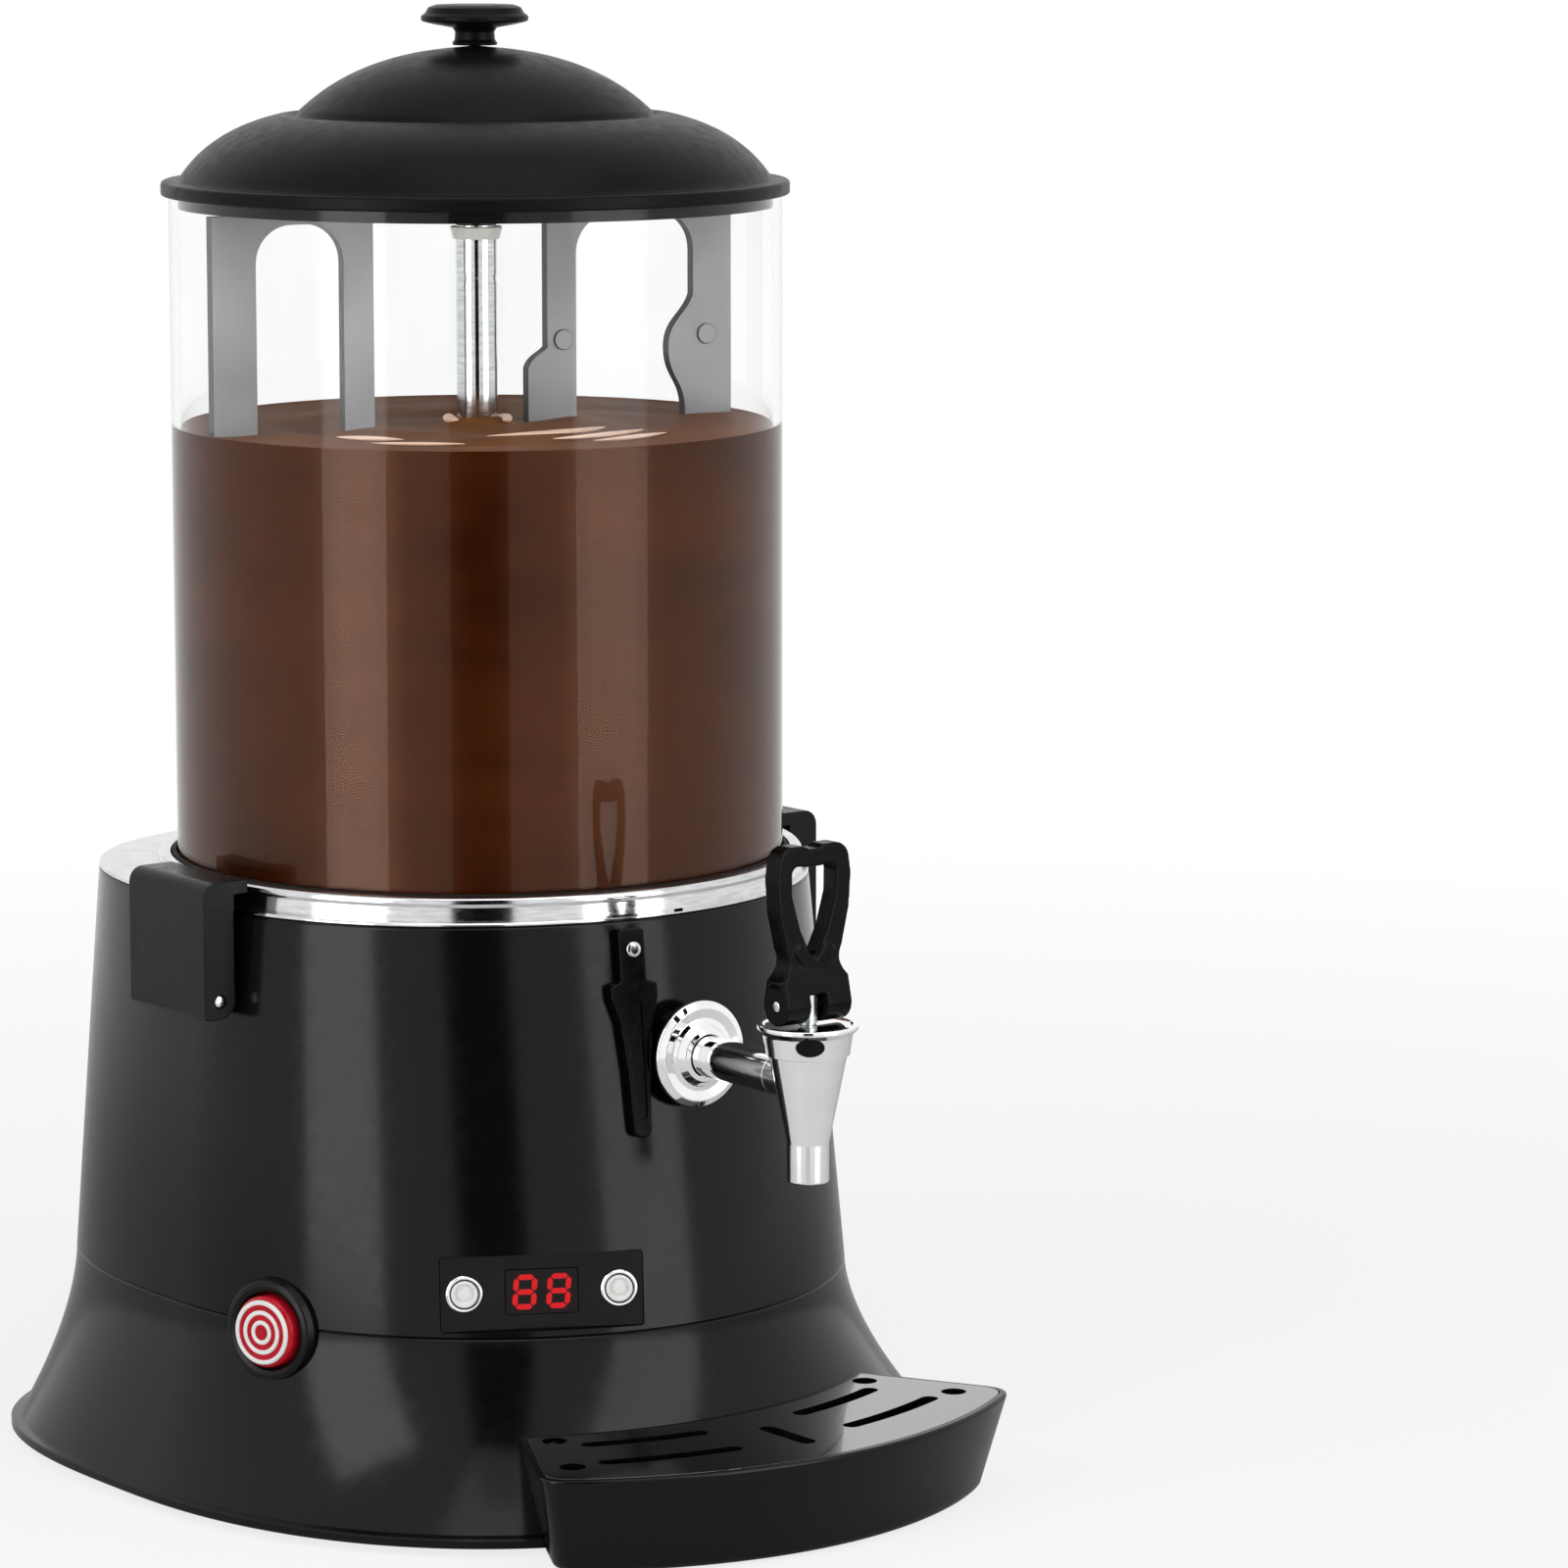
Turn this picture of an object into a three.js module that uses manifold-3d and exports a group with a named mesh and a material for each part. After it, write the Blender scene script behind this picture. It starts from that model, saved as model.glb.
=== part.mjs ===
// Hot chocolate dispenser: a clear ten litre bowl over a heated water bath, stirred by a geared motor,
// with a lever tap, a drip tray and side latches. Millimetres, +Z up, the tap looks along -Y.
// Everything is laid out round the bowl's axis, and the whole group is moved at the end so that
// its origin is the centre of the footprint, on the surface that it stands on.
import * as THREE from 'three';
import { mergeVertices } from 'three/addons/utils/BufferGeometryUtils.js';
import Module from 'manifold-3d';

const wasm = await Module();
wasm.setup();

// Common fits
const touch = 0.3;
const running = 1;
const overrun = 2;
const weld = 0.0001;

// Housing: how far its plan stands out past the bowl's collar at the top, and what each level below adds
const wall = 3;
const footLift = 3;
const seamHeight = 74;
const lipHeight = 4;
const lipOut = 1.5;
const topSideMargin = 4;
const topRearMargin = 28;
const seamSideFlare = 11;
const seamFrontFlare = 21;
const seamRearFlare = 10.5;
const footSideFlare = 28.5;
const footFrontFlare = 38;
const footRearFlare = 3;
const flarePowerShare = 1.7;
const footFrontRoundShare = 2.3;
const footRearRoundShare = 3;
const frontRoundShare = 2;
const rearRoundShare = 2.7;
const flareShares = [0.2, 0.5, 1];
const ledgeWidth = 12;
const ringSteps = 40;
const hexSides = 6;

// Bowl, its seat and the top plate
const bowlRadius = 122;
const bowlWall = 3.5;
const bowlHeight = 270;
const bowlFootOut = 1.8;
const bowlFootHeight = 3;
const gasketHeight = 3;
const plateThick = 1.5;
const collarClear = 2.5;
const collarWide = 5.5;
const collarHeight = 9.5;
const roundSteps = 36;
const middleSteps = 14;
const smallSteps = 10;
const screwSteps = 8;

// Water bath and product pan
const panInset = 10;
const panWall = 1.5;
const panDepth = 76;
const panCorner = 6;
const tankWall = 1.5;
const tankDepth = 104;
const heaterInset = 47;
const heaterTube = 4;
const heaterLift = 14;
const heaterLegs = 11;
const heaterLegDrop = 12;
const heaterSteps = 30;
const heaterClampMargin = 8;
const heaterClampThick = 4;
const sleeveRadius = 10;
const sleeveBore = 8;
const sleeveDrop = 4;
const sleeveRise = 10;
const sealLip = 11;
const sealHeight = 3;
const sealDepth = 8;
const probeRadius = 3;
const probeLength = 24;
const probeAngle = 150;

// Drive
const driveRadius = 6;
const shaftRadius = 8.2;
const shaftBelowRim = 14.5;
const shaftPinRadius = 5;
const shaftPinHeight = 8;
const drivePinRadius = 2;
const socketDepth = 25;
const bracketHalf = 58;
const bracketMargin = 18;
const bracketGauge = 3;
const bracketFoot = 16;
const gearboxDeep = 62;
const gearboxHeight = 34;
const motorRoom = 19;
const motorLength = 58;
const motorOffset = 8;
const motorBoss = 12;
const motorScrewRadius = 2;
const motorScrewHead = 4;
const motorScrewInset = 10;

// Stirrer wings
const wingThick = 5;
const wingAngle = 170;
const wingSpan = 75;
const wingInnerStrip = 15;
const wingOuterStrip = 20;
const wingClear = 4.5;
const wingBelowRim = 8.5;
const wingBridge = 9;
const wingCorner = 15;
const wingFootRise = 19;
const wingArm = 20;
const wingPanClear = 14;
const wingBumpDrop = 62;
const wingBumpOut = 11.5;
const wingBumpSpan = 26;
const wingBossRadius = 5;
const wingBossProud = 1.2;
const hubRadius = 13;
const hubHeight = 34;
const capRadius = 10.5;
const capHeight = 5;

// Lid
const lidRimOut = 3;
const lidRimHeight = 5.5;
const lidOverlap = 2.5;
const lidThick = 3;
const lidShoulderIn = 5;
const lidShoulderRise = 2;
const lidStepIn = 41;
const lidStepRise = 26;
const lidGroove = 5;
const lidCrown = 55.7;
const lidCrownFlat = 9;
const lidBulgeShare = 0.92;
const lidOuterSteps = 4;
const lidInnerSteps = 3;
const lidSkirtDrop = 7.5;
const lidSkirtThick = 2.7;
const lidBossRadius = 10.3;
const knobRadius = 21.3;
const knobThick = 9;
const knobStemRadius = 8.2;
const knobStem = 7;
const knobWaistShare = 0.8;

// Tap: heights are counted from its pipe, which runs just above the pan's floor
const tapOut = 84;
const tapRise = 20.5;
const tapBossRadius = 16;
const tapBossProud = 3.5;
const tapNutAcross = 14.5;
const tapNutThick = 4.5;
const tapFlangeRadius = 21;
const tapFlangeThick = 3.5;
const pipeRadius = 8;
const pipeWall = 2.5;
const pipeInside = 8;
const panNutAcross = 12;
const panNutThick = 5.5;
const panNutGap = 1.4;
const nozzleWall = 2.7;
const nozzleDrop = 38.8;
const nozzleNeckDrop = 23.5;
const seatDrop = 13.5;
const coneRise = 10.5;
const coneWall = 5;
const chamberRadius = 10;
const cupHeight = 12;
const cupClear = 1;
const stemRadius = 3;
const bonnetHeight = 12;
const bonnetFlare = 4.3;
const bonnetPlug = 4;
const bonnetWindowWidth = 12;
const bonnetWindowHeight = 6;
const bonnetWindowDeep = 2;
const leverPivotRise = 8;
const leverPinRadius = 2.2;
const leverHubWidth = 31;
const leverSlot = 8;
const leverThick = 8;
const leverLoopRise = 15;
const leverRise = 61;
const leverHalf = 18;
const leverBar = 6.5;
const leverNarrowShare = 0.45;
const leverCheekShare = 0.8;
const leverCheekRiseShare = 0.6;
const leverShoulderShare = 0.75;
const leverBlendShare = 0.2;
const leverCornerShare = 1.1;
const leverDipShare = 0.12;
const springTurns = 3;
const springTurnSteps = 10;
const springWire = 0.4;

// Front catch lever
const catchAngle = 10;
const catchBelowDeck = 11;
const catchHead = 8;
const catchTail = 73;
const catchWidth = 11;
const catchShoulder = 20;
const catchShoulderDrop = 13;
const catchThick = 5;
const catchScrewRadius = 3.2;
const catchScrewHead = 1.6;

// Side latches
const latchPivotProud = 9.7;
const latchBelowDeck = 33;
const latchFront = 28;
const latchRear = 26;
const latchBarrel = 7.2;
const latchSkin = 1.6;
const latchTail = 2.4;
const latchAboveDeck = 14;
const latchHook = 5.5;
const latchReachIn = 3.6;
const latchFaceOut = 2.8;
const latchPinRadius = 2.5;
const lugHalf = 10;
const strikerHalf = 12;
const strikerThick = 2.6;

// Control panel
const panelAngle = 26.2;
const panelRise = 17.5;
const panelWidth = 79;
const panelTall = 29;
const panelThick = 2;
const panelSink = 6.2;
const panelRim = 2.5;
const displayWidth = 28;
const displayTall = 17;
const displayThick = 1.5;
const keyInset = 9.3;
const keyRadius = 5.2;
const keyRingRadius = 7.2;
const keyProud = 2;
const keyRingProud = 1;
const keyTravel = 1;
const boardThick = 1.6;
const boardGap = 6;
const boardMargin = 3;

// Power button on the seam
const powerAngle = 69.5;
const powerDrop = 2;
const powerRadius = 14;
const powerBezelWide = 6.7;
const powerBezelProud = 4;
const powerProud = 8;
const powerTravel = 2.5;
const powerSleeveWall = 2;
const powerDomeShare = 0.6;
const powerSleeveDeep = 16;
const switchLength = 26;

// Drip tray and its grille: its front is counted from the tap, its corners from the housing's foot
const trayRimHeight = 39;
const trayLift = 1;
const trayPastTap = 24;
const trayCornerBack = 39;
const trayCornerInset = 58.5;
const trayCornerLean = 10.5;
const trayCornerRise = 5.3;
const trayFrontLean = 7;
const trayTaper = 53.4;
const trayRearLean = 7.7;
const trayLength = 99;
const trayCornerRound = 10;
const trayRoundSteps = 4;
const trayArcSteps = 10;
const trayWall = 2.5;
const trayClear = 0.6;
const grilleThick = 3;
const grilleLedge = 2.5;
const slotWidth = 7;
const slotInnerBack = 58;
const slotOuterBack = 31;
const slotStart = 8;
const slotEnd = 22.3;
const centreSlotBack = 52;
const centreSlotFront = 21;
const sideHoleIn = 39;
const sideHoleBack = 45;
const cornerHoleIn = 22;
const cornerHoleBack = 10;
const grilleHoleRadius = 5;

// Underside and rear
const baseSheet = 1.5;
const baseSheetLift = 3;
const footPadRadius = 13;
const footNeckRadius = 4;
const footHeadRadius = 6;
const footHeadHeight = 2.5;
const footInset = 60.5;
const footFrontInset = 77;
const footRearInset = 43.5;
const bossRadius = 5;
const bossInset = 8;
const bossRise = 18;
const screwRadius = 2;
const screwHeadRadius = 4;
const screwHeadHeight = 2;
const bossAngles = [50, 130, 230, 310];
const ventLength = 60;
const ventWidth = 4;
const ventPitch = 12;
const ventCount = 5;
const louvreWidth = 50;
const louvreTall = 4;
const louvreCount = 5;
const louvrePitch = 10;
const louvreRise = 26;
const inletAngle = 180;
const inletDrop = 34;
const inletWidth = 27;
const inletTall = 20;
const inletDeep = 22;
const inletFlange = 50;
const inletFlangeTall = 24;
const inletFlangeThick = 2.5;
const inletMouthWidth = 24;
const inletMouthTall = 16;
const inletMouthDeep = 16;
const inletPinWidth = 2;
const inletPinTall = 4;
const inletPinReach = 12;
const inletPinSpread = 7;
const inletPinRise = 2;
const inletScrewSpread = 20;
const inletScrewRadius = 1.6;

// Sizes worked out from the ones above: the stack of parts from the base sheet up to the lid
const baseSheetTop = footLift + baseSheetLift + baseSheet;
const gearboxTop = baseSheetTop + motorRoom + motorLength + gearboxHeight;
const bracketTop = gearboxTop + bracketGauge;
const sleeveBottom = bracketTop + plateThick + running;
const tankBottom = sleeveBottom + sleeveDrop;
const deckHeight = tankBottom + tankDepth;
const plateTop = deckHeight + plateThick;
const flangeTop = plateTop + plateThick;
const bowlBottom = flangeTop + gasketHeight;
const bowlTop = bowlBottom + bowlHeight;
const panBottom = flangeTop - panDepth - plateThick;
const sleeveTop = panBottom + panWall + sleeveRise;
const shaftBottom = sleeveTop + sealHeight + running;
const shaftTop = bowlTop - shaftBelowRim;
const lidBase = bowlTop - lidOverlap;
const lidSeat = bowlTop + touch;
const lidTop = lidSeat + lidCrown;

// The same for what stands round the bowl
const bowlInner = bowlRadius - bowlWall;
const collarInner = bowlRadius + collarClear;
const collarOuter = collarInner + collarWide;
const topHalfWidth = collarOuter + topSideMargin;
const topFront = collarOuter;
const topRear = collarOuter + topRearMargin;
const seamHalfWidth = topHalfWidth + seamSideFlare;
const seamFront = topFront + seamFrontFlare;
const seamRear = topRear + seamRearFlare;
const footHalfWidth = seamHalfWidth + footSideFlare;
const footFront = seamFront + footFrontFlare;
const footRear = seamRear + footRearFlare;
const panRadius = bowlRadius - panInset;
const tankRadius = bowlRadius - running;
const heaterRing = tankRadius - heaterInset;
const gearboxHalf = bracketHalf - bracketFoot;
const bracketDeep = gearboxDeep + bracketMargin;
const motorRadius = gearboxDeep / 2 - running;
const motorScrewSpread = gearboxHalf - motorScrewInset;
const wingOuter = bowlInner - wingClear;
const wingInner = wingOuter - wingSpan;
const wingTop = bowlTop - wingBelowRim;
const wingFoot = shaftBottom + wingFootRise;
const wingPanReach = panRadius - wingPanClear;
const wingBumpHeight = bowlTop - wingBumpDrop;
const lidRim = bowlRadius + lidRimOut;
const lidShoulder = bowlRadius - lidShoulderIn;
const lidStepRadius = lidShoulder - lidStepIn;

// The tap, the catch, the latches and the controls
const tapReach = topFront + tapOut;
const tapHeight = panBottom + panWall + tapRise;
const pipeBore = pipeRadius - pipeWall;
const nozzleRadius = pipeBore + nozzleWall;
const nozzleBottom = tapHeight - nozzleDrop;
const nozzleTop = tapHeight - nozzleNeckDrop;
const seatHeight = tapHeight - seatDrop;
const coneTop = tapHeight + coneRise;
const coneRadius = chamberRadius + coneWall;
const bonnetTop = coneTop + bonnetHeight;
const bonnetRadius = coneRadius + bonnetFlare;
const pivotHeight = bonnetTop + leverPivotRise;
const leverLoopBottom = pivotHeight + leverLoopRise;
const leverTop = pivotHeight + leverRise;
const catchPivot = deckHeight - catchBelowDeck;
const latchPivotOut = topHalfWidth + latchPivotProud;
const latchPivotHeight = deckHeight - latchBelowDeck;
const latchTop = deckHeight + latchAboveDeck;
const latchHookIn = topHalfWidth - latchReachIn;
const lugBarrel = latchBarrel - latchSkin - touch;
const latchFaceIn = topHalfWidth + latchFaceOut;
const panelHeight = seamHeight + panelRise;
const keySpread = panelWidth / 2 - keyInset;
const powerHeight = seamHeight - powerDrop;
const powerBezel = powerRadius + powerBezelWide;
const powerSleeve = powerRadius + powerSleeveWall;
const louvreHeight = seamHeight + louvreRise;
const inletHeight = seamHeight - inletDrop;

// The feet, the drip tray and the grille
const footSpreadX = footHalfWidth - footInset;
const footFrontY = footFront - footFrontInset;
const footRearY = footRear - footRearInset;
const trayFront = tapReach + trayPastTap;
const trayCornerX = footHalfWidth - trayCornerInset;
const trayCornerY = trayFront - trayCornerBack;
const trayFootFront = trayFront - trayFrontLean;
const trayFootCornerX = trayCornerX - trayCornerLean;
const trayFootCornerY = trayCornerY - trayCornerRise;
const trayRearX = trayCornerX - trayTaper;
const trayFootRearX = trayRearX - trayRearLean;
const trayRearY = trayCornerY - trayLength;
const groupShift = (trayFront - footRear - lipOut) / 2;

const up = new THREE.Vector3(0, 0, 1);
const model = new THREE.Group();

// Colour, roughness and metalness of each finish
const finishes = {
  gloss: [0x222222, 0.18, 0], satin: [0x202020, 0.45, 0], clear: [0xe8eef0, 0.05, 0], steel: [0xc8c8c8,
    0.22, 1],
  chrome: [0xe4e4e4, 0.08, 1], grey: [0x8a8a8c, 0.4, 0], rubber: [0x181818, 0.8, 0], red: [0xc01818, 0.2, 0],
  board: [0x1f5a33, 0.6, 0], cast: [0x8d9094, 0.5, 1], silicone: [0xb9b4aa, 0.6, 0], ivory: [0xdcdcd6,
    0.4, 0],
};

function finish(name) {
  const [color, roughness, metalness] = finishes[name];
  return new THREE.MeshStandardMaterial({ color, roughness, metalness });
}

// Turns a closed three.js geometry into a solid, leaving out collapsed triangles and facing it outwards.
function solid(geometry) {
  const loose = geometry.index ? geometry.toNonIndexed() : geometry.clone();
  loose.deleteAttribute('normal');
  loose.deleteAttribute('uv');
  const merged = mergeVertices(loose, weld);
  const vertProperties = Float32Array.from(merged.attributes.position.array);
  const corner = (i) => new THREE.Vector3().fromArray(vertProperties, 3 * i);
  const kept = [];
  let volume = 0;
  for (let i = 0; i < merged.index.count; i += 3) {
    const [a, b, c] = merged.index.array.slice(i, i + 3);
    if (a === b || b === c || c === a) continue;
    kept.push(a, b, c);
    volume += corner(a).dot(corner(b).cross(corner(c)));
  }
  if (volume < 0) kept.reverse();
  return new wasm.Manifold(new wasm.Mesh({ numProp: 3, vertProperties, triVerts: Uint32Array.from(kept) }));
}

function skinOf(shape) {
  const mesh = shape.getMesh();
  const geometry = new THREE.BufferGeometry();
  const places = new Float32Array(mesh.numVert * 3);
  for (let i = 0; i < mesh.numVert; i += 1) {
    for (let k = 0; k < 3; k += 1) places[3 * i + k] = mesh.vertProperties[i * mesh.numProp + k];
  }
  geometry.setAttribute('position', new THREE.BufferAttribute(places, 3));
  geometry.setIndex(Array.from(mesh.triVerts));
  geometry.computeVertexNormals();
  return geometry;
}

function join(...shapes) {
  return shapes.reduce((sum, next) => sum.add(next));
}

function cut(shape, ...tools) {
  return tools.reduce((sum, next) => sum.subtract(next), shape);
}

function addPart(name, shape, look, parent = model) {
  const mesh = new THREE.Mesh(skinOf(shape), finish(look));
  mesh.name = name;
  parent.add(mesh);
  return mesh;
}

// A solid of revolution about Z from [radius, height] pairs.
function turnedSkin(profile, steps = roundSteps) {
  const points = profile.map(([r, z]) => new THREE.Vector2(r, z));
  const open = profile[0][0] > 0 || profile.at(-1)[0] > 0;
  if (open) points.push(points[0].clone());
  return new THREE.LatheGeometry(points, steps).rotateX(Math.PI / 2);
}

function turned(profile, steps) {
  return solid(turnedSkin(profile, steps));
}

function ring(inner, outer, low, high, steps = roundSteps) {
  return turned([[inner, low], [outer, low], [outer, high], [inner, high]], steps);
}

function drum(radius, low, high, steps = smallSteps) {
  return turned([[0, low], [radius, low], [radius, high], [0, high]], steps);
}

function blockSkin(width, deep, tall, x, y, z) {
  return new THREE.BoxGeometry(width, deep, tall).translate(x, y, z);
}

function block(width, deep, tall, x, y, z) {
  return solid(blockSkin(width, deep, tall, x, y, z));
}

// A prism of an outline drawn in the plane of the first two axes, from one height to another.
function prismSkin(outline, low, high, curveSegments = 3) {
  const shape = Array.isArray(outline) ? new THREE.Shape(outline.map(([x, y]) => new THREE.Vector2(x,
    y))) : outline;
  const depth = high - low;
  return new THREE.ExtrudeGeometry(shape, { depth, bevelEnabled: false, curveSegments }).translate(0, 0, low);
}

// A round bar between two points.
function bar(radius, from, to, steps = smallSteps) {
  const along = to.clone().sub(from);
  const geometry = new THREE.CylinderGeometry(radius, radius, along.length(), steps);
  const turn = new THREE.Quaternion().setFromUnitVectors(new THREE.Vector3(0, 1, 0),
    along.clone().normalize());
  const middle = from.clone().add(to).multiplyScalar(0.5);
  return solid(geometry.applyQuaternion(turn).translate(middle.x, middle.y, middle.z));
}

function hexagon(across) {
  const corner = across / Math.cos(Math.PI / hexSides);
  const turn = (i) => (2 * i + 1) * Math.PI / hexSides;
  return Array.from({ length: hexSides }, (_, i) => [corner * Math.cos(turn(i)), corner * Math.sin(turn(i))]);
}

// The housing's plan at a height: half width, front and rear reach and how square its corners are.
function planAt(height, grow = 0) {
  const mix = THREE.MathUtils.lerp;
  if (height >= seamHeight) {
    const share = (height - seamHeight) / (deckHeight - seamHeight);
    return {
      half: mix(seamHalfWidth, topHalfWidth, share) + grow,
      front: mix(seamFront, topFront, share) + grow,
      rear: mix(seamRear, topRear, share) + grow,
      frontRound: frontRoundShare,
      rearRound: rearRoundShare,
    };
  }
  const share = ((seamHeight - height) / (seamHeight - footLift)) ** flarePowerShare;
  return {
    half: mix(seamHalfWidth, footHalfWidth, share) + grow,
    front: mix(seamFront, footFront, share) + grow,
    rear: mix(seamRear, footRear, share) + grow,
    frontRound: mix(frontRoundShare, footFrontRoundShare, share),
    rearRound: mix(rearRoundShare, footRearRoundShare, share),
  };
}

function planRing(height, grow = 0, shapeHeight = height) {
  const plan = planAt(shapeHeight, grow);
  return Array.from({ length: ringSteps }, (_, i) => {
    const turn = 2 * Math.PI * i / ringSteps;
    const [c, s] = [Math.cos(turn), Math.sin(turn)];
    const power = 2 / (s < 0 ? plan.frontRound : plan.rearRound);
    const reach = s < 0 ? plan.front : plan.rear;
    const x = plan.half * Math.sign(c) * Math.abs(c) ** power;
    return new THREE.Vector3(x, reach * Math.sign(s) * Math.abs(s) ** power, height);
  });
}

// A closed skin through rings of equally many points, capped at both ends.
function skinThrough(rings) {
  const count = rings[0].length;
  const middle = (points) => points.reduce((sum, p) => sum.add(p), new THREE.Vector3()).divideScalar(count);
  const places = [...rings.flat(), middle(rings[0]), middle(rings.at(-1))];
  const index = [];
  const last = (rings.length - 1) * count;
  for (let i = 0; i < count; i += 1) {
    const next = (i + 1) % count;
    for (let k = 0; k < last; k += count) {
      index.push(k + i, k + next, k + count + next, k + i, k + count + next, k + count + i);
    }
    index.push(next, i, last + count, last + i, last + next, last + count + 1);
  }
  const geometry = new THREE.BufferGeometry().setFromPoints(places);
  return geometry.setIndex(index);
}

function bodyOf(heights, grow = 0) {
  return solid(skinThrough(heights.map((height) => planRing(height, grow))));
}

const flareHeights = [footLift, ...flareShares.map((share) => footLift + share * (seamHeight - footLift))];

// Where the housing's surface is in a direction from the front, counted towards the left, at a height.
function faceFrame(angle, height) {
  const turn = THREE.MathUtils.degToRad(angle);
  const [dx, dy] = [-Math.sin(turn), -Math.cos(turn)];
  const reachAt = (z) => {
    const plan = planAt(z);
    const [power, depth] = dy < 0 ? [plan.frontRound, plan.front] : [plan.rearRound, plan.rear];
    const reach = ((Math.abs(dx) / plan.half) ** power + (Math.abs(dy) / depth) ** power) ** (-1 / power);
    const nx = Math.sign(dx) * (Math.abs(dx * reach) / plan.half) ** (power - 1) / plan.half;
    const ny = Math.sign(dy) * (Math.abs(dy * reach) / depth) ** (power - 1) / depth;
    return { reach, normal: new THREE.Vector3(nx, ny, 0).normalize() };
  };
  const here = reachAt(height);
  const lean = Math.atan((here.reach - reachAt(height + overrun).reach) / overrun);
  const flat = here.normal;
  const outward = flat.clone().multiplyScalar(Math.cos(lean)).addScaledVector(up, Math.sin(lean));
  const across = new THREE.Vector3(-flat.y, flat.x, 0);
  const rise = outward.clone().cross(across);
  const frame = new THREE.Matrix4().makeBasis(across, rise, outward);
  return frame.setPosition(dx * here.reach, dy * here.reach, height);
}

function groupAt(frame) {
  const group = new THREE.Group();
  frame.decompose(group.position, group.quaternion, group.scale);
  model.add(group);
  return group;
}

// Places on the seam, a set distance inside the housing, where the long screws pass.
const bossPlaces = bossAngles.map((angle) => {
  const frame = faceFrame(angle, seamHeight);
  const place = new THREE.Vector3().setFromMatrixPosition(frame);
  const outward = new THREE.Vector3().setFromMatrixColumn(frame, 2).setZ(0).normalize();
  return place.addScaledVector(outward, -bossInset);
});

const panelFrame = faceFrame(panelAngle, panelHeight).multiply(new THREE.Matrix4().makeTranslation(0, 0,
  -panelSink));
const powerFrame = faceFrame(powerAngle, powerHeight);
const catchFrame = faceFrame(catchAngle, catchPivot);
const inletFrame = faceFrame(inletAngle, inletHeight);

function inFrame(frame, geometry) {
  return solid(geometry.applyMatrix4(frame));
}

// The power button's hole, through both shells where they meet.
function powerHole() {
  return inFrame(powerFrame, turnedSkin([[0, -powerBezel], [powerSleeve + touch, -powerBezel],
    [powerSleeve + touch, powerBezel], [0, powerBezel]], middleSteps));
}

function makeLowerBase() {
  const outer = bodyOf(flareHeights);
  const lip = solid(skinThrough([planRing(footLift, lipOut), planRing(footLift + lipHeight, lipOut,
    footLift)]));
  const hollow = bodyOf([footLift - overrun, ...flareHeights.slice(0, -1), seamHeight - wall], -wall);
  const mouth = bodyOf([seamHeight - wall - overrun, seamHeight + overrun], -wall - ledgeWidth);
  const posts = bossPlaces.map(({ x, y }) => ring(screwRadius + touch, bossRadius, baseSheetTop,
    seamHeight, smallSteps)
    .translate([x, y, 0]));
  const bores = bossPlaces.map(({ x, y }) => drum(screwRadius + touch, footLift, seamHeight + overrun,
    smallSteps)
    .translate([x, y, 0]));
  const inletHole = inFrame(inletFrame, blockSkin(inletWidth + 2 * touch, inletTall + 2 * touch,
    2 * inletDeep, 0, 0, 0));
  const seat = inFrame(inletFrame, blockSkin(inletFlange + 2 * touch, inletFlangeTall + 2 * touch, inletDeep,
    0, 0, inletDeep / 2 - inletFlangeThick));
  const pad = inFrame(inletFrame, blockSkin(inletFlange + 2 * wall, inletFlangeTall + 2 * wall, 2 * wall,
    0, 0, -inletFlangeThick)).intersect(outer);
  const screwHoles = [-1, 1].map((side) => inFrame(inletFrame, turnedSkin([[0, -inletDeep],
    [inletScrewRadius + touch, -inletDeep], [inletScrewRadius + touch, 0], [0, 0]], smallSteps)
    .translate(side * inletScrewSpread, 0, 0)));
  const shell = join(cut(outer.add(lip), hollow, mouth), pad, ...posts);
  return cut(shell, ...bores, powerHole(), inletHole, seat, ...screwHoles);
}

function latchLug(side) {
  const nearFace = topHalfWidth;
  const outline = new THREE.Shape();
  const barrel = lugBarrel;
  outline.moveTo(nearFace, latchPivotHeight - barrel);
  outline.lineTo(latchPivotOut, latchPivotHeight - barrel);
  outline.absarc(latchPivotOut, latchPivotHeight, barrel, -Math.PI / 2, Math.PI / 2, false);
  outline.lineTo(nearFace, latchPivotHeight + barrel);
  const skin = prismSkin(outline, -lugHalf + touch, lugHalf - touch).rotateX(Math.PI / 2);
  return solid(side < 0 ? skin.rotateZ(Math.PI) : skin);
}

function latchPinHole(side) {
  const x = side * latchPivotOut;
  const from = new THREE.Vector3(x, -latchFront - overrun, latchPivotHeight);
  return bar(latchPinRadius + touch, from, from.clone().setY(latchRear + overrun), smallSteps);
}

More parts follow.
